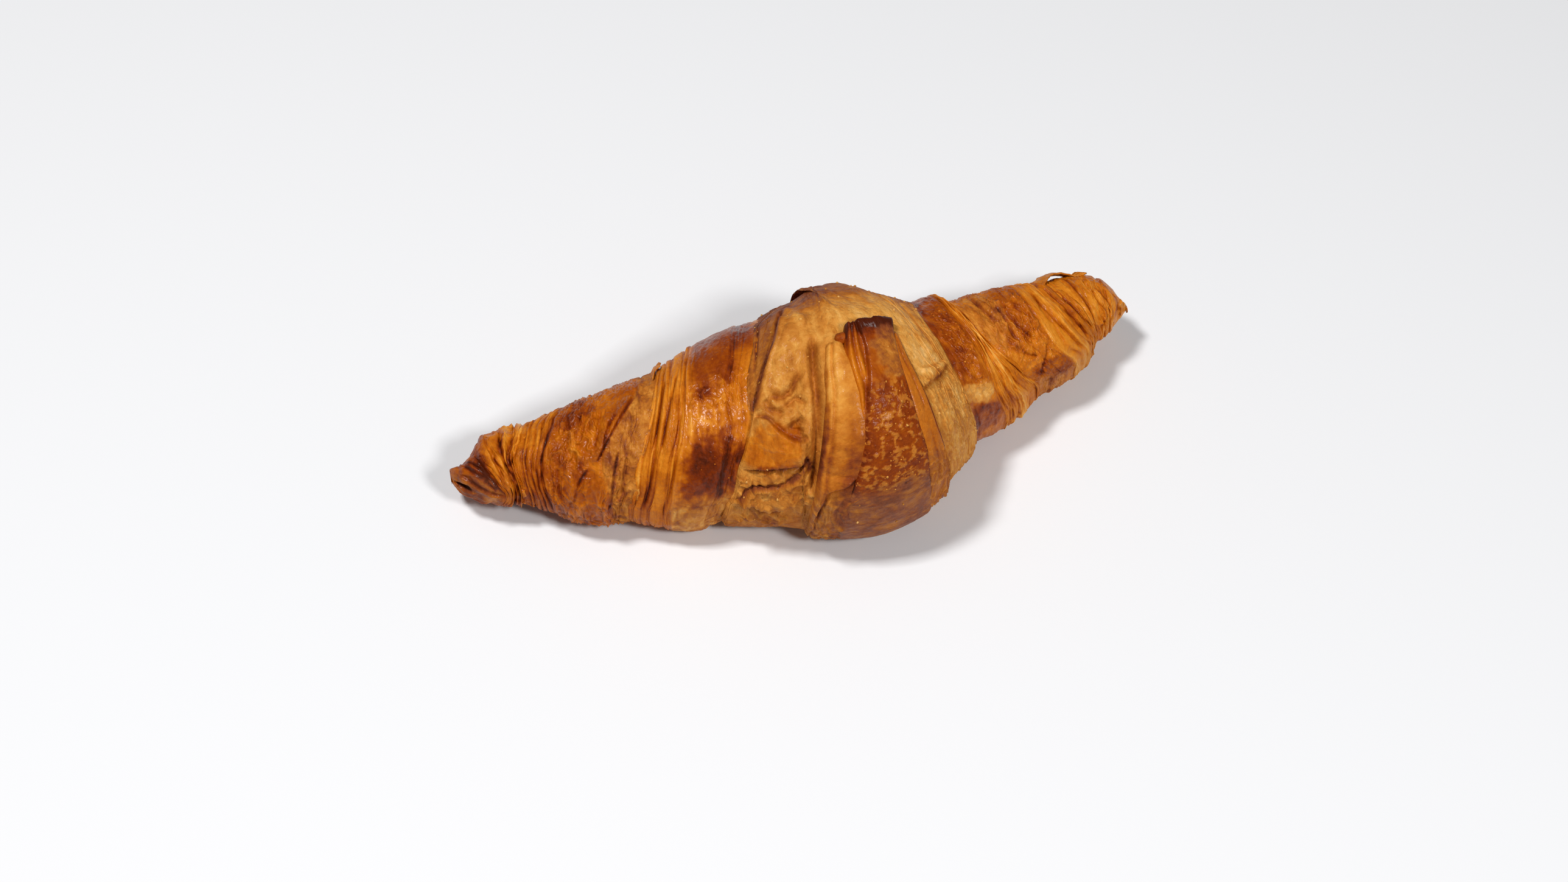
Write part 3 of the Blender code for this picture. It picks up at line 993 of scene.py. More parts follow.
# %% Left horn
def left_horn():
    lines = [constant(LEFT_TIP), constant(-84.9), ROLL_END, FAN_LOW, FAN_HIGH,
             *shifted(LEFT_OUTER_FOOT, 0.0, 4.0, 6.0)]
    heights = (0.0, 0.0, 0.2, 0.3, 0.1, -0.6, -1.6, -5.0)
    skin = turn_skin(380, lines, (8, 16, 34, 30, 34, 14, 4), heights)
    skin.shrink = roundness(skin.along, LEFT_TIP, 7.0)
    skin.gloss[:] = 0.6
    top = before(skin, 112.0, 55.0) * after(skin.column, 2.6, 1.2)
    skin.bake[:] = 0.52 - 0.30 * top + 0.04 * until(skin.column, 3.0, 1.4)
    skin.height -= 3.6 * until(skin.along, -76.5, 9.0) * before(skin, 122.0, 50.0)
    strands(skin, 1.0, 3.0, 16, 0.45, 0.4, 3, dark=0.16, skew=0.7)
    skin.cut += 0.5 * after(skin.column, 1.5, 0.5) * until(skin.column, 5.2, 0.3)
    strands(skin, 3.0, 5.6, 20, 0.5, 0.4, 4, dark=0.16, skew=0.6)
    strands(skin, 3.0, 5.6, 16, -0.3, 0.25, 5, dark=-0.2, skew=0.2)
    draw(skin, fold,
         ([(-81, 84), (-79.5, 108), (-77.8, 132), (-75, 160)], 0.8, 3.0, 1, 0.35, 0.3, 0.1),
         ([(-82, 98), (-80, 119), (-78, 138), (-75, 164)], 0.6, 2.6, 1, 0.3, 0.3, 0.1),
         ([(-82.8, 112), (-80.8, 127), (-79, 142), (-76, 167)], 0.6, 2.6, 1, 0.3, 0.3),
         ([(-83, 133), (-81.2, 146), (-78, 168), (-74.5, 178)], 0.7, 2.4, 1, 0.3, 0.3),
         ([(-77.8, 52), (-77.2, 90), (-75.6, 122), (-73.4, 162)], 0.6, 2.5, 1, 0.3, 0.06, -0.12))
    draw(skin, crease,
         ([(-74.6, 102), (-74, 124), (-73.6, 145), (-71.8, 168)], -0.4, 0.6, -0.2),
         ([(-73.8, 42), (-74, 82), (-73.2, 134)], 0.35, 0.35, 0.12),
         ([(-70.8, 72), (-72.2, 98), (-72.8, 108)], 0.4, 0.35, 0.2),
         ([(-68.8, 86), (-70.2, 105), (-73, 127)], 0.5, 0.35, 0.25))
    hollow = patch(skin, (-82.4, 169), (1.2, 12), seed=8, rough=0.3)
    # painted shade: the sunk hollow is painted darker
    skin.tint(hollow, height=-1.8, bake=0.45)
    skin.bake += 0.07 * patch(skin, (-82.5, 150), (4.5, 50), seed=9)
    skin.dry += 0.5 * patch(skin, (-80.0, 165), (5.0, 30), seed=12)
    skin.bake -= 0.12 * patch(skin, (-76.0, 108), (2.5, 26), seed=10)
    membrane(skin, 1.0, 1.6, 13, 0.12, 0.12)
    unevenness(skin, 21, 0.25)
    loosen(skin, 1.6, 5.6, 20, 22)
    return shell_mesh("left_horn", skin)


# %% [markdown]
# ## The left outer turn
# A wide glossy skin, wrinkled near its crest, and dull beyond a crease, where the next
# turn shaded it in the oven. Its cut edge is the pale fan that lies on the horn.

# %% Left outer turn
def left_outer_turn():
    lines = [*shifted(LEFT_OUTER_FOOT, 1.5, 0.0), LEFT_OUTER_CREST, constant(-52.0),
             *shifted(LEFT_FOOT, -1.0, 3.0, 5.0)]
    skin = turn_skin(460, lines, (5, 46, 60, 64, 14, 4), (-3.0, -0.9, 0.5, 0.2, -0.9, -2.2, -6.0))
    skin.start(bake=0.56, gloss=0.85)
    edge = layers(skin, 1.0, 2.0, 6, 0.5, 31, pale=0.38, groove=0.4, wander=0.4, tone=0.2)
    skin.bake += edge * 0.22 * past(skin, 105.0, 40.0)
    strands(skin, 1.0, 2.05, 14, 0.4, 0.3, 32, dark=0.16, skew=0.4)
    skin.gloss -= 0.35 * edge
    # beyond this line the next turn shaded the skin, so it stayed dull
    shade = smooth_through((60, 92, 108, 126, 160), (-41, -46, -49.5, -51.5, -50.5), skin.angle)
    dull = after(skin.along, shade, 1.2) * before(skin, 250.0, 40.0)
    skin.tint(dull, dry=0.7, gloss=-0.55)
    front = after(skin.column, 2.0, 0.1) * (1.0 - dull)
    wrinkles(skin, front * patch(skin, (-57, 104), (5.5, 34), seed=33), 1.5, 4.0, 0.7, 34)
    wrinkles(skin, front * 0.8, 0.9, 2.6, 0.3, 50, 0.06)
    wrinkles(skin, dull * 0.8, 1.1, 3.0, 0.3, 51, 0.08)
    strands(skin, 2.0, 4.0, 20, 0.3, 0.4, 35, dark=0.06, skew=0.3)
    strands(skin, 2.0, 4.0, 12, -0.35, 0.6, 36, dark=-0.06, skew=0.3)
    membrane(skin, dull, 1.7, 37, 0.2, 0.22)
    membrane(skin, 1.0 - edge, 3.0, 38, 0.16, 0.15)
    draw(skin, fold,
         ([(-61.5, 60), (-61.8, 84), (-63.6, 110), (-64.6, 128)], 0.5, 3.0, -1, 0.3, 0.3),
         ([(-42.2, 72), (-43.8, 81), (-47.5, 99), (-51, 120), (-52.4, 130)], 0.8, 2.8, 1, 0.22, 0.32),
         ([(-47, 88), (-49.2, 98), (-51, 120)], 0.6, 2.5, 1, 0.3, 0.3),
         ([(-53.8, 132), (-55.8, 146), (-57.2, 170)], 0.6, 3.0, 1, 0.3, 0.25),
         ([(-47.3, 120), (-48.8, 137), (-51, 186)], 0.7, 3.0, 1, 0.3, 0.3))
    draw(skin, crease,
         ([(-61.2, 103), (-59.5, 100), (-56.2, 96)], -0.5, 0.5, -0.1),
         ([(-57.5, 96), (-56.5, 112), (-54.6, 130)], -0.6, 0.5, -0.1),
         ([(-58.5, 112), (-56.2, 117), (-54.8, 124)], -0.5, 0.45, -0.1),
         ([(-50.5, 78), (-51.5, 100), (-52.5, 118)], 0.5, 0.4, 0.2),
         ([(-45.5, 120), (-46.5, 140), (-47.5, 165)], 0.5, 0.4, 0.2),
         ([(-60.5, 130), (-60.5, 150), (-59.5, 172)], 0.5, 0.4, 0.2))
    skin.bake += 0.08 * front * patch(skin, (-58, 110), (7, 40), seed=37)
    skin.bake += 0.05 * front * past(skin, 130.0, 15.0)
    skin.bake += 0.16 * patch(skin, (-60, 70), (7, 26), seed=38) * front
    lower = past(skin, 130.0, 30.0)
    wrinkles(skin, lower * (1.0 - edge), 1.6, 7.0, 0.4, 41, 0.15)
    unevenness(skin, 39, 0.45)
    loosen(skin, 1.0, 2.1, 20, 26)
    loosen(skin, 2.1, 4.0, 12, 27, 0.04)
    return shell_mesh("left_outer_turn", skin)


# %% [markdown]
# ## The left inner turn
# The glossiest skin of all: egg wash pooled here and browned in two dark patches with an
# amber one between them. Its edge shows several thick layers, cream, with shade painted
# dark into the seams between them.

# %% Left inner turn
def left_inner_turn():
    def middle(angle):
        return 0.5 * (LEFT_CREST(angle) + BELLY_LEFT_FOOT(angle))

    lines = [*shifted(LEFT_FOOT, 2.0, 0.0), LEFT_CREST, middle,
             *shifted(BELLY_LEFT_FOOT, -0.8, 4.0, 7.0)]
    skin = turn_skin(500, lines, (5, 60, 50, 54, 14, 4), (-3.6, -1.2, 0.7, 0.9, -0.9, -2.0, -7.0))
    skin.start(bake=0.47, gloss=0.95)
    edge = layers(skin, 1.0, 2.05, 5, 0.5, 44, pale=0.33, groove=0.32, wander=0.3, tone=0.26)
    strands(skin, 1.0, 2.3, 14, 0.25, 0.2, 42, dark=0.14, skew=0.3)
    strands(skin, 1.0, 2.3, 8, -0.2, 0.3, 43, dark=-0.14, skew=0.2)
    skin.gloss -= 0.5 * edge
    skin.bake += edge * 0.12 * past(skin, 125.0, 40.0)
    draw(skin, crease,
         ([(-33.8, 66), (-37.5, 102), (-40.2, 133), (-44, 184)], 0.6, 0.35, 0.4, 0.3, 0.1),
         ([(-31.2, 72), (-35, 99), (-38.5, 128)], 0.5, 0.3, 0.35, 0.2, 0.1),
         ([(-27.5, 58), (-31.5, 95), (-34.8, 126), (-39.8, 186)], 0.4, 0.3, 0.3, 0.2, 0.1))
    face = after(skin.column, 2.0, 0.25)
    upper = patch(skin, (-22.5, 62), (10.5, 33), lean=-0.1, seed=45, rough=0.3, soft=0.5)
    skin.bake += face * 0.30 * upper
    skin.bake += face * 0.12 * patch(skin, (-26, 96), (3.0, 5), seed=43)
    lower = patch(skin, (-28.0, 148), (8.5, 23), lean=-0.3, seed=44, rough=0.55, soft=0.8)
    skin.bake += face * 0.44 * lower
    skin.bake -= face * 0.02 * patch(skin, (-26, 112), (8.0, 13), seed=52)
    membrane(skin, face * (1.0 - upper) * (1.0 - lower), 1.7, 53, 0.28, 0.15)
    low = face * past(skin, 153.0, 26.0) * before(skin, 260.0, 40.0)
    skin.tint(low, dry=0.75, gloss=-0.5, bake=-0.06)
    wrinkles(skin, face * patch(skin, (-22, 98), (9, 12), seed=46), 2.2, 3.0, 0.4, 47)
    wrinkles(skin, face * 0.6, 4.0, 10.0, 0.16, 48)
    seam = face * after(skin.column, 3.3, 0.5) * before(skin, 145.0, 25.0)
    skin.bake += (0.36 - skin.bake) * 0.6 * seam * past(skin, 55.0, 30.0)
    strands(skin, 3.3, 4.0, 14, 0.2, 0.25, 54, dark=0.08, skew=0.2)
    strands(skin, 2.0, 4.0, 8, 0.14, 0.5, 55, dark=0.03, skew=0.2)
    unevenness(skin, 49, 0.5)
    loosen(skin, 1.0, 2.3, 14, 28)
    keep_place("blisters", skin, window(skin, 60, 155, 2.3, 3.8))
    return shell_mesh("left_inner_turn", skin)


# %% [markdown]
# ## The belly
# The last and widest turn. It swelled and tore in the oven, so it is pale, matt and
# folded: soft lobes above, a torn mouth low on the left, and fibres where layers parted.

# %% Belly
def belly():
    lines = [*shifted(BELLY_LEFT_FOOT, 2.0, 0.0), BELLY_LEFT_CREST, constant(6.0),
             BELLY_RIGHT_CREST, *shifted(BELLY_RIGHT_FOOT, 0.0, -2.0)]
    skin = turn_skin(520, lines, (5, 20, 74, 64, 18, 5), (-4.0, -0.9, 0.2, 0.0, 0.4, -0.7, -4.0))
    skin.start(bake=0.26, gloss=0.25, dry=0.75)
    # painted shade: the top and the back of the belly are painted darker than its front
    skin.bake += 0.42 * before(skin, 80.0, 26.0)
    skin.bake += 0.12 * until(skin.along, 8.0, 6.0)
    membrane(skin, 1.0, 2.6, 60, 0.13, 0.25)
    strands(skin, 0.6, 5.0, 36, 0.14, 0.4, 59, dark=0.04, skew=0.3)
    # the left lobe with the pinch under it, the torn mouth, and the amber facet between
    draw(skin, pillow,
         ((-5, 80), (9, 42), 1.8), ((-6, 116), (6, 12), -1.2), ((-12, 142), (8, 14), 1.0),
         ((-13, 157), (8, 8), 0.9), ((-12, 171), (9, 10), 1.2),
         ((22, 92), (6, 38), 0.9), ((23, 150), (9, 34), 1.0))
    seam = until(skin.column, 2.0, 0.3) * before(skin, 125.0, 10.0) * past(skin, 62.0, 20.0)
    skin.bake += 0.20 * seam
    draw(skin, fold,
         ([(-6.6, 68), (-8.6, 80), (-11.2, 92), (-13.6, 103), (-16.2, 121)], 1.8, 9.0, -1, 0.35, 0.3, 0.2),
         ([(-16.2, 121), (-13.2, 124), (-10.5, 132), (-7, 138), (-2.5, 139)], 1.9, 7.0, 1, 0.5, 0.25),
         ([(-20.6, 150), (-13, 150.5), (-6.5, 151.5), (-3, 149)], 1.5, 6.0, -1, 0.4, 0.3, 0.2),
         ([(-22.4, 176), (-19, 175), (-15.6, 180), (-12.2, 179), (-6, 171)], 1.8, 5.0, -1, 0.45, 0.35),
         ([(-25, 176), (-21, 170), (-18.6, 163), (-12.8, 162), (-9.2, 159), (-5.5, 152), (-3.2, 153)],
          1.3, 4.0, 1, 0.35, 0.2))
    draw(skin, crease,
         ([(-23.6, 178), (-18.8, 163.5), (-12.8, 162.5), (-9.4, 159.5), (-4.5, 152.5)],
          0.9, 0.4, 0.22, 0.0, 0.15),
         ([(-4.8, 57), (-7, 70), (-9, 84), (-11.2, 92), (-13.2, 102), (-16, 120)],
          0.6, 0.4, 0.28, 0.2, 0.2),
         ([(-12.5, 112), (-9.4, 114), (-7, 111.5), (-3, 103)], 1.3, 0.9, 0.28, 0.2),
         ([(-13, 113), (-12, 119), (-9.2, 124)], 1.1, 0.9, 0.25, 0.2),
         ([(-9, 120), (-6, 116.5), (-3, 121)], 0.9, 0.6, 0.12, 0.2),
         ([(-3.5, 128), (-8, 131), (-4, 135)], 1.4, 1.0, 0.2, 0.2),
         ([(-0.7, 88), (-1.0, 106), (-0.8, 122), (-1.6, 146), (-3.0, 170)], 3.0, 0.9, 0.22, 0.0, 0.08),
         ([(-11.5, 62), (-12.8, 78), (-14.4, 96)], 0.7, 0.4, 0.3),
         ([(-4.5, 146), (-3.4, 153), (-3.2, 158)], 1.6, 0.8, 0.5),
         ([(-6.5, 58), (-4, 72), (-1.5, 84)], -0.8, 1.2, -0.05))
    facet = patch(skin, (-13, 139), (7.5, 12), lean=0.2, seed=63, rough=0.3)
    skin.tint(facet, dry=-0.65, gloss=0.4, bake=0.08)
    wrinkles(skin, patch(skin, (-12, 128), (9, 24), seed=65), 2.4, 4.2, 0.3, 66, 0.10)
    mouth = patch(skin, (-13, 170), (11, 20), seed=67)
    wrinkles(skin, mouth, 2.4, 4.0, 0.6, 68, 0.16)
    skin.bake += 0.08 * mouth
    # the right lobe: two long laps, a small fold under them, then fibres
    draw(skin, fold,
         ([(26.0, 62), (26.2, 82), (26.4, 102), (27.2, 118)], 1.2, 6.0, 1, 0.35, 0.35, 0.15),
         ([(28.6, 64), (29.2, 86), (30.4, 106)], 0.8, 2.6, 1, 0.3, 0.3, 0.1),
         ([(28.6, 119), (24.8, 124.5), (19.8, 128), (15.5, 130.5)], 1.1, 5.0, 1, 0.35, 0.3, 0.12),
         ([(29, 117), (23.5, 120.5), (18.5, 120.5)], 0.5, 3.0, -1, 0.3, 0.2))
    skin.bake -= 0.16 * patch(skin, (21.5, 116), (4.5, 8), seed=69)
    fibres = patch(skin, (22.5, 158), (11, 34), seed=61)
    wrinkles(skin, fibres, 1.0, 6.0, 0.45, 62, 0.2)
    strands(skin, 3.4, 5.0, 16, 0.22, 0.3, 64, dark=0.08, skew=0.4)
    skin.bake += 0.04 * fibres
    skin.bake += 0.20 * past(skin, 180.0, 12.0)
    unevenness(skin, 64, 0.6)
    loosen(skin, 1.0, 2.0, 10, 29)
    loosen(skin, 3.6, 5.0, 18, 56)
    keep_place("crumbs", skin, window(skin, 30, 190, 1.0, 5.0))
    return shell_mesh("belly", skin)


# %% [markdown]
# ## The right half
# It mirrors the left in kind, not in detail: a narrow glossy band beside the belly, a
# band of fine layers, a wrinkled brown band, and a pale horn of fine folds with a blunt
# end.

# %% Right inner turn
def right_inner_turn():
    lines = [*shifted(BELLY_RIGHT_FOOT, -6.0, -3.5, 0.6), RIGHT_CREST, *shifted(RIGHT_FOOT, 0.0, -2.0)]
    skin = turn_skin(500, lines, (4, 10, 56, 72, 5), (-7.0, -2.4, -1.2, 0.7, -1.1, -3.6))
    skin.start(bake=0.50, gloss=0.95)
    edge = layers(skin, 2.95, 4.0, 5, 0.5, 71, pale=0.34, groove=0.28, wander=0.4, tone=0.16)
    strands(skin, 2.9, 4.0, 32, 0.35, 0.2, 70, dark=0.14, skew=0.4)
    strands(skin, 2.9, 4.0, 22, -0.3, 0.22, 69, dark=-0.16, skew=0.2)
    skin.gloss -= 0.4 * edge
    face = until(skin.column, 3.0, 0.15)
    brown = patch(skin, (34.6, 86), (6, 50), seed=72, rough=0.25, soft=0.5)
    skin.bake += face * 0.20 * brown
    amber = patch(skin, (35.5, 146), (4.5, 9), seed=73)
    skin.tint(face * amber, bake=-0.24, dry=0.7)
    skin.bake += face * 0.28 * patch(skin, (37, 170), (5, 14), seed=74, rough=0.3)
    blisters = face * patch(skin, (36, 100), (3, 32), seed=75)
    wrinkles(skin, blisters, 1.0, 1.4, 0.3, 76)
    membrane(skin, face, 1.8, 78, 0.16, 0.15)
    strands(skin, 2.0, 3.0, 10, 0.15, 0.4, 79, dark=0.04, skew=0.3)
    unevenness(skin, 77, 0.4)
    loosen(skin, 2.9, 4.0, 30, 57)
    keep_place("bubbles", skin, blisters > 0.4)
    return shell_mesh("right_inner_turn", skin)


# %% Right outer turn
def right_outer_turn():
    lines = [*shifted(RIGHT_FOOT, -5.0, -3.0, 0.6), RIGHT_OUTER_CREST,
             *shifted(RIGHT_OUTER_FOOT, 0.0, -2.0)]
    skin = turn_skin(460, lines, (4, 10, 86, 64, 5), (-6.0, -2.2, -1.0, 0.5, -0.9, -3.2))
    skin.start(bake=0.50, gloss=0.8)
    edge = layers(skin, 3.3, 4.0, 4, 0.4, 81, pale=0.36, groove=0.25, wander=0.4, tone=0.12)
    cream = after(skin.column, 2.97, 0.06) * until(skin.column, 3.4, 0.1)
    skin.bake -= 0.14 * cream + 0.12 * cream * past(skin, 95.0, 30.0)
    skin.gloss -= 0.3 * cream + 0.3 * edge
    skin.cut += 0.3 * cream
    strands(skin, 3.0, 4.0, 22, 0.4, 0.28, 80, dark=0.13, skew=0.5)
    strands(skin, 3.0, 4.0, 12, -0.25, 0.3, 90, dark=-0.12, skew=0.2)
    face = until(skin.column, 3.0, 0.06)
    pale = face * patch(skin, (46.5, 84), (5, 36), seed=82)
    skin.tint(pale, dry=0.45, gloss=-0.3)
    brown = patch(skin, (55, 84), (5, 38), seed=83, rough=0.3, soft=0.7)
    skin.bake += face * (0.12 * brown - 0.03)
    skin.bake -= face * 0.12 * patch(skin, (53.5, 134), (6, 14), seed=84)
    skin.bake += face * 0.13 * patch(skin, (57, 163), (5.5, 15), seed=85, rough=0.3)
    wrinkles(skin, face * patch(skin, (54, 98), (6, 34), seed=86), 1.3, 4.0, 0.7, 87)
    wrinkles(skin, face * 0.7, 0.8, 2.6, 0.28, 100, 0.06)
    membrane(skin, face, 1.9, 88, 0.2, 0.2)
    strands(skin, 2.0, 3.0, 18, 0.3, 0.35, 91, dark=0.06, skew=0.4)
    draw(skin, crease,
         ([(50.4, 78), (50.8, 96), (50.4, 121)], 0.6, 0.4, 0.25),
         ([(52, 92), (53, 108), (55, 127)], 0.6, 0.4, 0.25),
         ([(56.8, 80), (57.2, 100), (56.8, 118)], -0.5, 0.5, -0.05),
         ([(58, 130), (56.6, 145), (55.2, 156), (55, 170)], 0.5, 0.4, 0.2),
         ([(51, 124), (52, 134), (55, 142)], 0.6, 0.4, 0.2),
         ([(47, 58), (47.5, 80), (49, 100)], 0.5, 0.4, 0.2),
         ([(61.6, 66), (61.2, 95), (63, 131), (65.5, 167)], 0.6, 0.35, 0.3),
         ([(66, 70), (66.2, 116), (68, 163)], 0.6, 0.35, 0.3),
         ([(68, 69), (68.5, 118), (71.5, 160)], 0.6, 0.35, 0.3))
    skin.dry += 0.5 * past(skin, 165.0, 12.0)
    unevenness(skin, 89, 0.4)
    loosen(skin, 2.95, 4.0, 30, 58)
    loosen(skin, 2.0, 2.95, 12, 98, 0.03)
    keep_place("blisters", skin, window(skin, 60, 150, 2.2, 2.9))
    return shell_mesh("right_outer_turn", skin)


# %% Right horn
def right_horn():
    lines = [*shifted(RIGHT_OUTER_FOOT, -5.0, -3.5, 0.4), constant(79.5), constant(84.6),
             constant(RIGHT_TIP)]
    skin = turn_skin(380, lines, (4, 10, 60, 30, 10), (-5.0, -1.8, -0.7, 0.1, 0.1, 0.0))
    skin.shrink = roundness(skin.along, RIGHT_TIP, 5.0)
    skin.bake[:] = 0.34 - 0.06 * past(skin, 100.0, 40.0)
    skin.gloss[:] = 0.7
    skin.height -= 2.2 * after(skin.along, 77.5, 8.0) * before(skin, 115.0, 50.0)
    skin.cut += 0.4
    strands(skin, 2.0, 3.2, 22, 0.35, 0.3, 92, dark=0.10, skew=0.5)
    strands(skin, 3.0, 4.6, 14, 0.35, 0.35, 97, dark=0.08, skew=0.6)
    draw(skin, fold,
         ([(76, 88), (76.2, 118), (78.5, 146), (75, 164)], 0.5, 2.5, 1, 0.3, 0.25),
         ([(77, 92), (79, 114), (81.2, 142), (80.4, 164)], 0.5, 2.0, 1, 0.3, 0.25),
         ([(79.5, 72), (81.2, 96), (83.5, 122), (82.5, 168)], 0.5, 2.0, 1, 0.3, 0.3),
         ([(72.4, 50), (72.2, 97), (73.2, 152)], 0.5, 2.5, 1, 0.3, 0.25))
    skin.bake -= 0.05 * after(skin.along, 79.0, 3.0)
    skin.bake += 0.08 * patch(skin, (80, 60), (4, 26), seed=94)
    membrane(skin, 1.0, 1.8, 96, 0.14, 0.12)
    unevenness(skin, 95, 0.3)
    loosen(skin, 2.0, 4.4, 26, 99)
    return shell_mesh("right_horn", skin)


# %% [markdown]
# ## The tongue and the strips beside it
# The tip of the triangle comes over the top and runs down the front. It is a slab with
# rounded sides, so it is a grid of its own, stitched to a second grid just under the
# surface of the belly. Its columns crowd towards the edges, where it curves most.

# %% Flap mesh
FLAP_THINNEST = 0.4  # mm between a flap's upper and lower skins
FLAP_SUNK = 0.6  # how far below the body's surface a flap's sides begin


def flap_skin(left, right, top, bottom, rows, columns, thickness, rounding):
    """A skin between two lines; its height falls to nothing at its edges."""
    angles = np.linspace(top, bottom, rows)
    share = 0.5 - 0.5 * np.cos(np.linspace(0.0, math.pi, columns))
    share = 0.5 * (share + np.linspace(0.0, 1.0, columns))
    start, end = left(angles)[:, None], right(angles)[:, None]
    along = start + (end - start) * share[None, :]
    skin = Skin(along, np.repeat(angles[:, None], columns, axis=1))
    skin.column = np.repeat(share[None, :], rows, axis=0)
    reach = np.minimum(along - start, end - along) / rounding
    skin.side = np.sqrt(np.maximum(1.0 - (1.0 - np.clip(reach, 0.0, 1.0)) ** 2, 0.0))
    skin.height = (thickness + FLAP_SUNK) * skin.side - FLAP_SUNK
    return skin


def open_line(points):
    """A line along a flap, from {angle: place along X}."""
    angles = sorted(points)
    return lambda angle: smooth_through(angles, [points[a] for a in angles], angle)


def flap_mesh(name, skin, inside=-1.6):
    """The closed slab under a flap's skin, down to a place inside the body."""
    top = on_body(skin.along, skin.angle, skin.height)
    low = on_body(skin.along, skin.angle, np.minimum(skin.height - FLAP_THINNEST, inside))
    vertices = np.concatenate([top.reshape(-1, 3), low.reshape(-1, 3)])
    count = skin.along.size
    index = np.arange(count).reshape(skin.along.shape)
    quads = np.stack([index[1:, :-1], index[1:, 1:], index[:-1, 1:], index[:-1, :-1]], -1)
    quads = quads.reshape(-1, 4)
    rim = np.concatenate([index[0, :-1], index[:-1, -1], index[-1, :0:-1], index[:0:-1, 0]])
    onward = np.roll(rim, -1)
    sides = np.stack([rim, onward, onward + count, rim + count], -1)
    finish = {key: np.tile(getattr(skin, key).reshape(-1), 2) for key in FINISH}
    finish["grain"] = np.tile(grain_of(skin), (2, 1))
    return finish_mesh(name, vertices, (quads, quads[:, ::-1] + count, sides), finish)


# %% [markdown]
# ### The tongue
# Its end has curled up and nearly burnt. A ridged orange strip runs down its left side,
# gold specks show where the glaze broke, and low down it is smooth and purple-brown.

# %% Tongue
TONGUE_LEFT = open_line({84: 7.5, 90: 6.5, 96: 5.6, 104: 4.8, 124: 4.6, 140: 3.9, 156: 3.2,
                         164: 2.6, 180: 1.5, 205: 1.2, 245: 1.6})
TONGUE_RIGHT = open_line({84: 19.6, 92: 19.4, 98: 17.8, 106: 15.4, 115: 13.4, 126: 12.0,
                          140: 11.2, 156: 11.0, 176: 11.0, 190: 11.4, 245: 9.6})
DARK_LEFT = open_line({84: 9.2, 98: 8.8, 111: 7.4, 120: 6.4, 136: 5.1, 150: 4.3, 164: 3.1,
                       180: 1.8, 245: 1.6})
TONGUE_END = 92.5  # angle of its free end
TONGUE_SLANT = 0.45  # degrees for each mm along X


def tongue():
    skin = flap_skin(TONGUE_LEFT, TONGUE_RIGHT, 88.5, 240.0, 460, 100, 2.1, 1.0)
    x = skin.along
    # its free end is a slanted, uneven line, where it curls up with a thick lip
    ragged = band_noise(x, np.full_like(x, 90.0), 2.6, 50.0, 101, 2)
    end = skin.angle - TONGUE_END - TONGUE_SLANT * (x - 11.5) - 1.1 * ragged
    tip = np.maximum(end, 0.0)
    lip = bell(end - 1.6, 2.2)
    skin.height += (1.3 * bell(tip, 7.0) + 0.6 * lip) * skin.side
    skin.height = np.where(end < 0.0, skin.height + 0.9 * end, skin.height)
    skin.angle = np.where(end < 0.0, skin.angle - end * 0.85, skin.angle)
    skin.start(bake=0.66, gloss=0.58)
    # the ridged strip, and the groove that parts it from the dark face
    left, dark, right = (line(skin.angle) for line in (TONGUE_LEFT, DARK_LEFT, TONGUE_RIGHT))
    strip = ease((dark - x) / 0.5 + 0.5)
    ribs = np.cos((x - left) * 5.6 + 1.5 * skin.noise(9.0, 14.0, 102, 2))
    skin.height += strip * (0.22 * ribs - 0.55)
    # painted light: the raised ribs are painted paler, as highlights, and the hollows between them darker,
    # as shade
    skin.bake += strip * (-0.13 - 0.12 * ribs)
    # painted shade in the sunk groove beside the dark face
    skin.tint(bell(x - dark, 0.32), height=-0.5, bake=0.16)
    skin.bake += 0.20 * lip + 0.34 * bell(tip, 9.0)
    # the face: a dry burst near the end, then gold mottle, then smooth dry skin low down
    face = 1.0 - strip
    burst = patch(skin, (13.0, 108), (3.6, 13), lean=-0.2, seed=104, rough=0.6)
    skin.tint(face * burst, dry=0.8, bake=-0.06)
    skin.height += face * 0.45 * bell(x - 0.5 * (dark + right), 3.0)
    mottle, cloud = skin.noise(0.6, 1.3, 105, 4), skin.noise(3.5, 5.0, 109, 2)
    zone = face * after(skin.angle, 113.0, 14.0) * until(skin.angle, 172.0, 8.0)
    gold = ease(mottle * 2.6 + 0.8 * cloud + 0.05) * zone
    skin.tint(zone, bake=0.13, gloss=-0.2)
    skin.tint(gold, bake=-0.23, dry=0.6, height=0.16)
    skin.tint(face * after(skin.angle, 160.0, 14.0), bake=0.11, dry=1.0)
    # painted shade: the tongue's right side, from halfway down, is painted darker
    rim = ease(x - right + 1.0) * after(skin.angle, 128.0, 25.0) * until(skin.angle, 205.0, 20.0)
    skin.bake += 0.22 * rim + 0.08 * skin.noise(2.0, 6.0, 108, 3)
    skin.height += 0.3 * skin.noise(7.0, 9.0, 106, 2) * skin.side + 0.06 * skin.noise(0.8, 1.2, 107, 2)
    keep_place("specks", skin, (zone > 0.5) & (face > 0.5) & (cloud > -0.2))
    keep_place("crumbs", skin, window(skin, 100, 195))
    return flap_mesh("tongue", skin)


def spur():
    """The little hook at the left corner of the tongue's end."""
    left, right = open_line({90: 4.4, 93: 4.0, 98: 4.6}), open_line({90: 7.6, 93: 7.4, 98: 6.9})
    rows = columns = 40
    skin = flap_skin(left, right, 91.0, 96.5, rows, columns, 1.5, 0.6)
    skin.height += np.sin(np.pi * np.linspace(0.0, 1.0, rows)[:, None]) - 1.0
    skin.start(bake=0.74, gloss=0.5)
    skin.bake += 0.1 * skin.noise(1.0, 1.5, 110, 2)
    return flap_mesh("spur", skin)


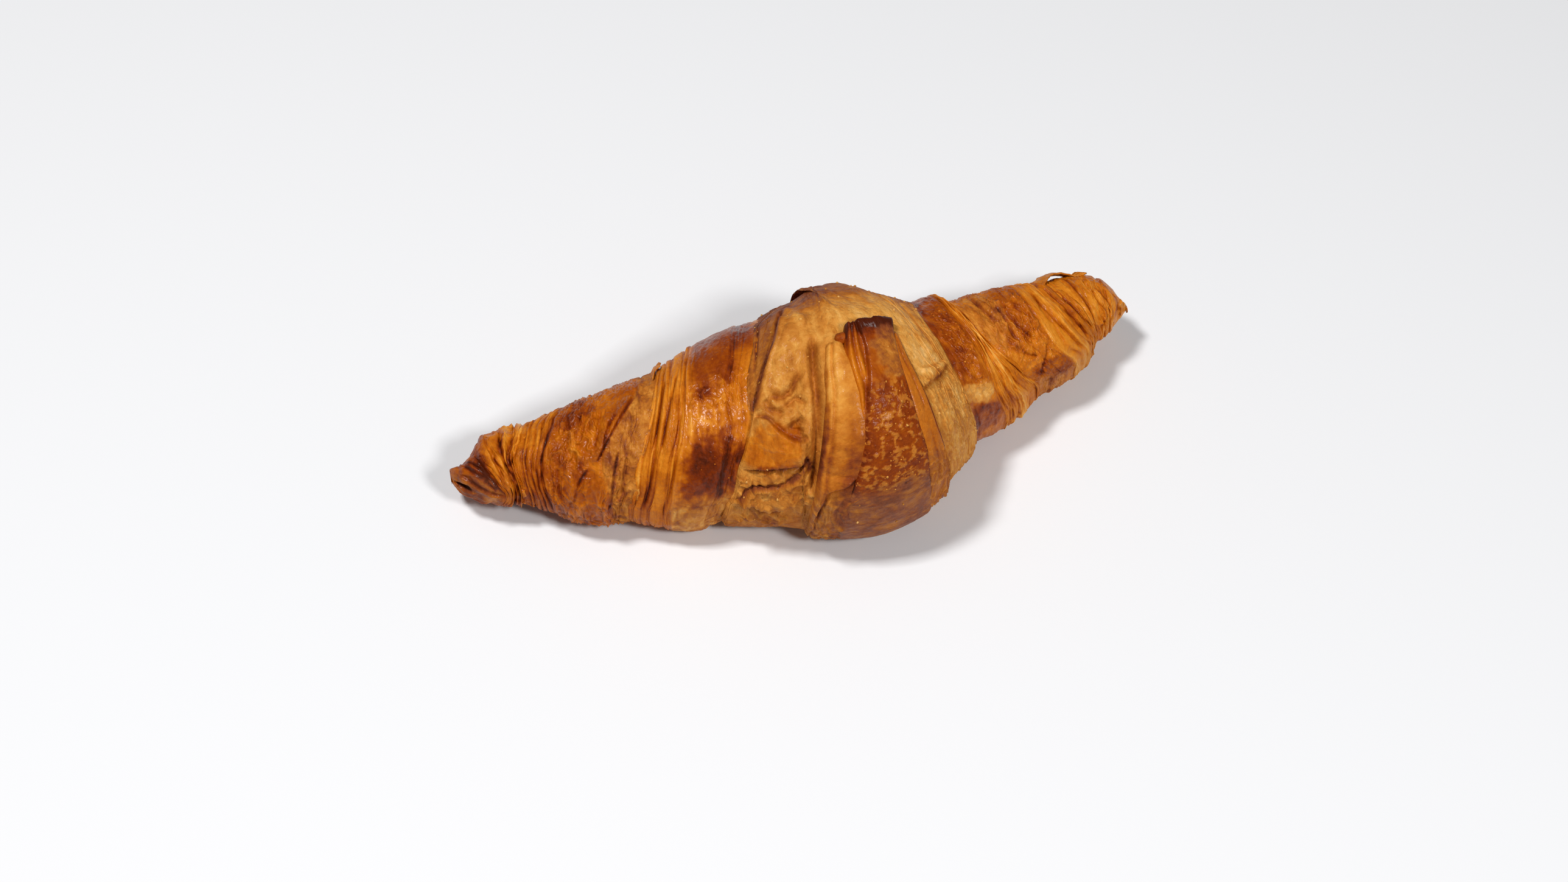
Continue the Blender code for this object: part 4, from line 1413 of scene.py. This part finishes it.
# %% [markdown]
# ### The strips
# Two narrow laps lie beside the tongue, where the edges of the widest turn were pulled
# thin: a pale one on its left that darkens low down, and a brown one on its right.


# %% Strips
def left_strip():
    left = open_line({94: 1.9, 105: 1.0, 120: 0.7, 130: 0.2, 150: -0.9, 171: -2.3, 185: -3.6, 215: -5.0})
    right = open_line({94: 5.4, 102: 5.6, 112: 6.4, 130: 6.4, 150: 5.6, 170: 4.8, 190: 4.4, 215: 4.0})
    skin = flap_skin(left, right, 93.0, 212.0, 340, 64, 1.6, 1.7)
    skin.height -= 1.6 * until(skin.angle, 97.0, 4.0)
    skin.start(bake=0.22, gloss=0.35, dry=0.45)
    inner = skin.along - left(skin.angle)
    # painted shade: the strip's left side, down in the gap beside the belly, is painted darker
    side = until(inner, 1.0 + 0.5 * skin.noise(3.0, 6.0, 114, 2), 0.7)
    skin.bake += 0.34 * side * until(skin.angle, 172.0, 20.0)
    # a sunk groove, painted darker as shade
    skin.height -= 0.5 * bell(inner - 1.5, 0.35)
    skin.bake += 0.16 * bell(inner - 1.5, 0.4)
    skin.bake += 0.34 * after(skin.angle, 116.0, 34.0)
    # painted shadow: darker where the strip runs in under the tongue's left edge
    skin.bake += 0.18 * after(skin.along, TONGUE_LEFT(skin.angle) - 1.4, 1.2)
    draw(skin, fold,
         ([(3.6, 159), (2.4, 163), (0.2, 165), (-0.8, 173), (-2.6, 184)], 1.3, 5.0, 1, 0.3, 0.22),
         ([(4.4, 168), (3.0, 178), (2.0, 192)], 0.6, 2.0, 1, 0.3, 0.3))
    low = after(skin.angle, 164.0, 8.0)
    skin.dry += 0.4 * low
    wrinkles(skin, low, 1.2, 5.0, 0.45, 111, 0.12)
    skin.height += 0.3 * skin.noise(4.0, 7.0, 112, 2) * skin.side
    membrane(skin, 1.0, 1.4, 113, 0.1, 0.08)
    return flap_mesh("left_strip", skin)


def right_strip():
    left = open_line({97: 16.0, 104: 14.2, 115: 12.0, 130: 10.5, 150: 9.8, 176: 9.6, 205: 9.6})
    right = open_line({97: 18.6, 104: 17.8, 111: 16.8, 120: 15.9, 133: 15.4, 152: 14.8,
                       160: 15.1, 170: 16.0, 182: 17.6, 205: 18.5})
    skin = flap_skin(left, right, 97.0, 202.0, 320, 56, 1.9, 1.2)
    skin.height -= 1.4 * until(skin.angle, 102.0, 5.0)
    skin.start(bake=0.52, gloss=0.5, dry=0.25)
    inner = right(skin.angle) - skin.along
    # painted shade: the strip's right side is painted darker
    rim = until(inner, 1.1, 0.7) * until(skin.angle, 170.0, 10.0) * after(skin.angle, 104.0, 6.0)
    skin.bake += 0.40 * rim
    strands(skin, -1.0, 2.0, 7, 0.3, 0.25, 122, dark=0.2, skew=0.4)
    low = after(skin.angle, 150.0, 20.0)
    skin.tint(low, bake=0.06, dry=0.4)
    wrinkles(skin, low, 0.9, 4.0, 0.4, 123, 0.2)
    skin.height -= after(skin.angle, 190.0 + 6.0 * skin.noise(1.5, 40.0, 124, 2), 6.0)
    skin.height += 0.25 * skin.noise(4.0, 7.0, 125, 2) * skin.side
    return flap_mesh("right_strip", skin)


# %% [markdown]
# ### Lifted flakes
# Here and there a film of dough has sprung off the far side. It is held at both ends, so
# daylight shows under it, and its free tip is ragged.

# %% Lifted flakes
NOT_INSIDE = 99.0  # above every skin, so that a film's lower side follows its upper one


def flake(name, start, end, far, near, rise, held, seed):
    """A thin film between two places along X: held at both ends, it arches, or it sticks up."""
    skin = flap_skin(constant(start), constant(end), far, near, 36, 60, 0.0, 1.0)
    share = (skin.along - start) / (end - start)
    arch = np.sin(np.pi * np.clip(share / 0.78, 0.0, 1.0)) + 0.8 * after(share, 0.8, 0.2)
    arch = held * arch + (1.0 - held) * share
    skin.height = rise * (arch + 0.2 * skin.noise(1.2, 1.5, seed, 3)) - 0.25
    ragged = band_noise(skin.along * 0.0, skin.angle, 2.0, 0.8, seed + 1, 3)
    skin.along = skin.along + 0.16 * (end - start) * share**2 * ragged
    skin.angle = skin.angle + 12.0 * until(share, 0.45, 0.45)
    skin.start(bake=0.42, gloss=0.5, dry=0.3)
    skin.bake += 0.12 * skin.noise(1.5, 2.0, seed + 2, 3)
    return flap_mesh(name, skin, inside=NOT_INSIDE)


# %% [markdown]
# ## Making everything
# The turns come first, because the loose edges and the small things grow on their
# finished skins.

# %% Build the pieces
pieces = [left_horn(), left_outer_turn(), left_inner_turn(), belly(),
          right_inner_turn(), right_outer_turn(), right_horn(),
          tongue(), spur(), left_strip(), right_strip(),
          flake("horn_flake", 67.0, 77.5, 24.0, 50.0, 1.2, 1.0, 130),
          flake("left_flake", -37.0, -34.0, 36.0, 50.0, 0.9, 0.0, 134),
          flake("right_flake", 37.0, 39.6, 30.0, 44.0, 0.8, 0.0, 138)]

# %% Grow the small things
scatter = scatter_tree()
blister = small_shape("blister", 5, 0.42, 0.1)
crumb = small_shape("crumb", 6, 0.7, 0.5)
sizes = {"Thickness": 0.13 * MM, "Unevenness": 0.16 * MM}
pieces.append(grown("loose_edges", edge_host(), edge_tree(), **sizes))
SETTINGS = ("Smallest", "Largest", "Tilt", "Palest", "Darkest", "Gloss", "Dry")
KINDS = (  # name, shape, spacing in mm, density for each square mm, then the settings
    ("blisters", blister, 1.3, 0.05, 0.15, 0.4, 0.1, 0.45, 0.62, 1.0, 0.0),
    ("bubbles", blister, 0.6, 0.4, 0.15, 0.5, 0.1, 0.25, 0.55, 1.0, 0.1),
    ("specks", blister, 0.5, 0.5, 0.15, 0.45, 0.2, 0.32, 0.6, 0.6, 0.5),
    ("crumbs", crumb, 3.0, 0.02, 0.3, 0.9, 1.5, 0.1, 0.5, 0.1, 1.0),
)
for seed, (name, shape, spacing, density, *settings) in enumerate(KINDS):
    values = dict(zip(SETTINGS, settings), Spacing=spacing * MM, Density=density / MM**2)
    pieces.append(grown(name, place_host(name), scatter, Shape=shape, Seed=seed + 1, **values))
bpy.data.objects.remove(blister)
bpy.data.objects.remove(crumb)

# %% [markdown]
# ## Everything belongs to the one body
# The croissant has no joints, so every piece rides on the body called root. The belly is
# its middle piece. The imported solid is hidden.

# %% Ride on the body
for piece in pieces:
    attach(piece, "root")
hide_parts("croissant")


# %% [markdown]
# ## Floor, light and camera
# A plain pale floor, a soft light high on the left, a weaker one in front on the right,
# and a dim, slightly blue world. Both lights are small, because the glaze shows them as
# its highlights. The camera looks down from the front, a little to the left, from about
# four and a half times the croissant's length away.

# %% Stage
FLOOR_REACH = 1.5
LIT_PLACE = Vector((0.0, 0.0, 0.02))  # what both lights point at
SOFTBOX_SIZE = 0.18
WORLD_COLOUR, WORLD_STRENGTH = (0.95, 0.97, 1.0, 1.0), 0.13


def softbox(name, place, power):
    light = bpy.data.lights.new(name, "AREA")
    light.shape, light.size, light.energy = "SQUARE", SOFTBOX_SIZE, power
    lamp = placed(name, light)
    lamp.location = place
    lamp.rotation_euler = (LIT_PLACE - Vector(place)).to_track_quat("-Z", "Y").to_euler()
    print(f"{name} light: {power} W")


def build_floor():
    mesh = bpy.data.meshes.new("floor")
    corners = [(-1, -1), (1, -1), (1, 1), (-1, 1)]
    mesh.from_pydata([(x * FLOOR_REACH, y * FLOOR_REACH, 0) for x, y in corners], [], [(0, 1, 2, 3)])
    material, shader = new_material("floor")
    shader.inputs["Base Color"].default_value = (0.80, 0.80, 0.81, 1.0)
    shader.inputs["Roughness"].default_value = 0.6
    mesh.materials.append(material)
    return placed("floor", mesh)


build_floor()
softbox("key", (-0.42, 0.08, 1.08), 9.5)
softbox("front", (0.28, -0.72, 0.88), 7.0)
world = bpy.data.worlds.new("studio")
world.use_nodes = True
background = world.node_tree.nodes["Background"].inputs
background["Color"].default_value = WORLD_COLOUR
background["Strength"].default_value = WORLD_STRENGTH
bpy.context.scene.world = world
bpy.context.scene.view_settings.view_transform = "Standard"

# %% Camera
AZIMUTH, ELEVATION = math.radians(19.0), math.radians(52.8)
DISTANCE = 0.783
AIM = Vector((-7.82, 0.66, 11.5)) * MM
LENS, SENSOR = 74.5, 36.0
level = math.cos(ELEVATION)
view = Vector((math.sin(AZIMUTH) * level, math.cos(AZIMUTH) * level, -math.sin(ELEVATION)))
camera_data = bpy.data.cameras.new("camera")
camera_data.lens, camera_data.sensor_width = LENS, SENSOR
camera_data.clip_start = 0.01
camera = placed("camera", camera_data)
camera.location = AIM - view * DISTANCE
camera.rotation_euler = view.to_track_quat("-Z", "Y").to_euler()
bpy.context.scene.camera = camera
print("camera, m:", [round(value, 3) for value in camera.location])
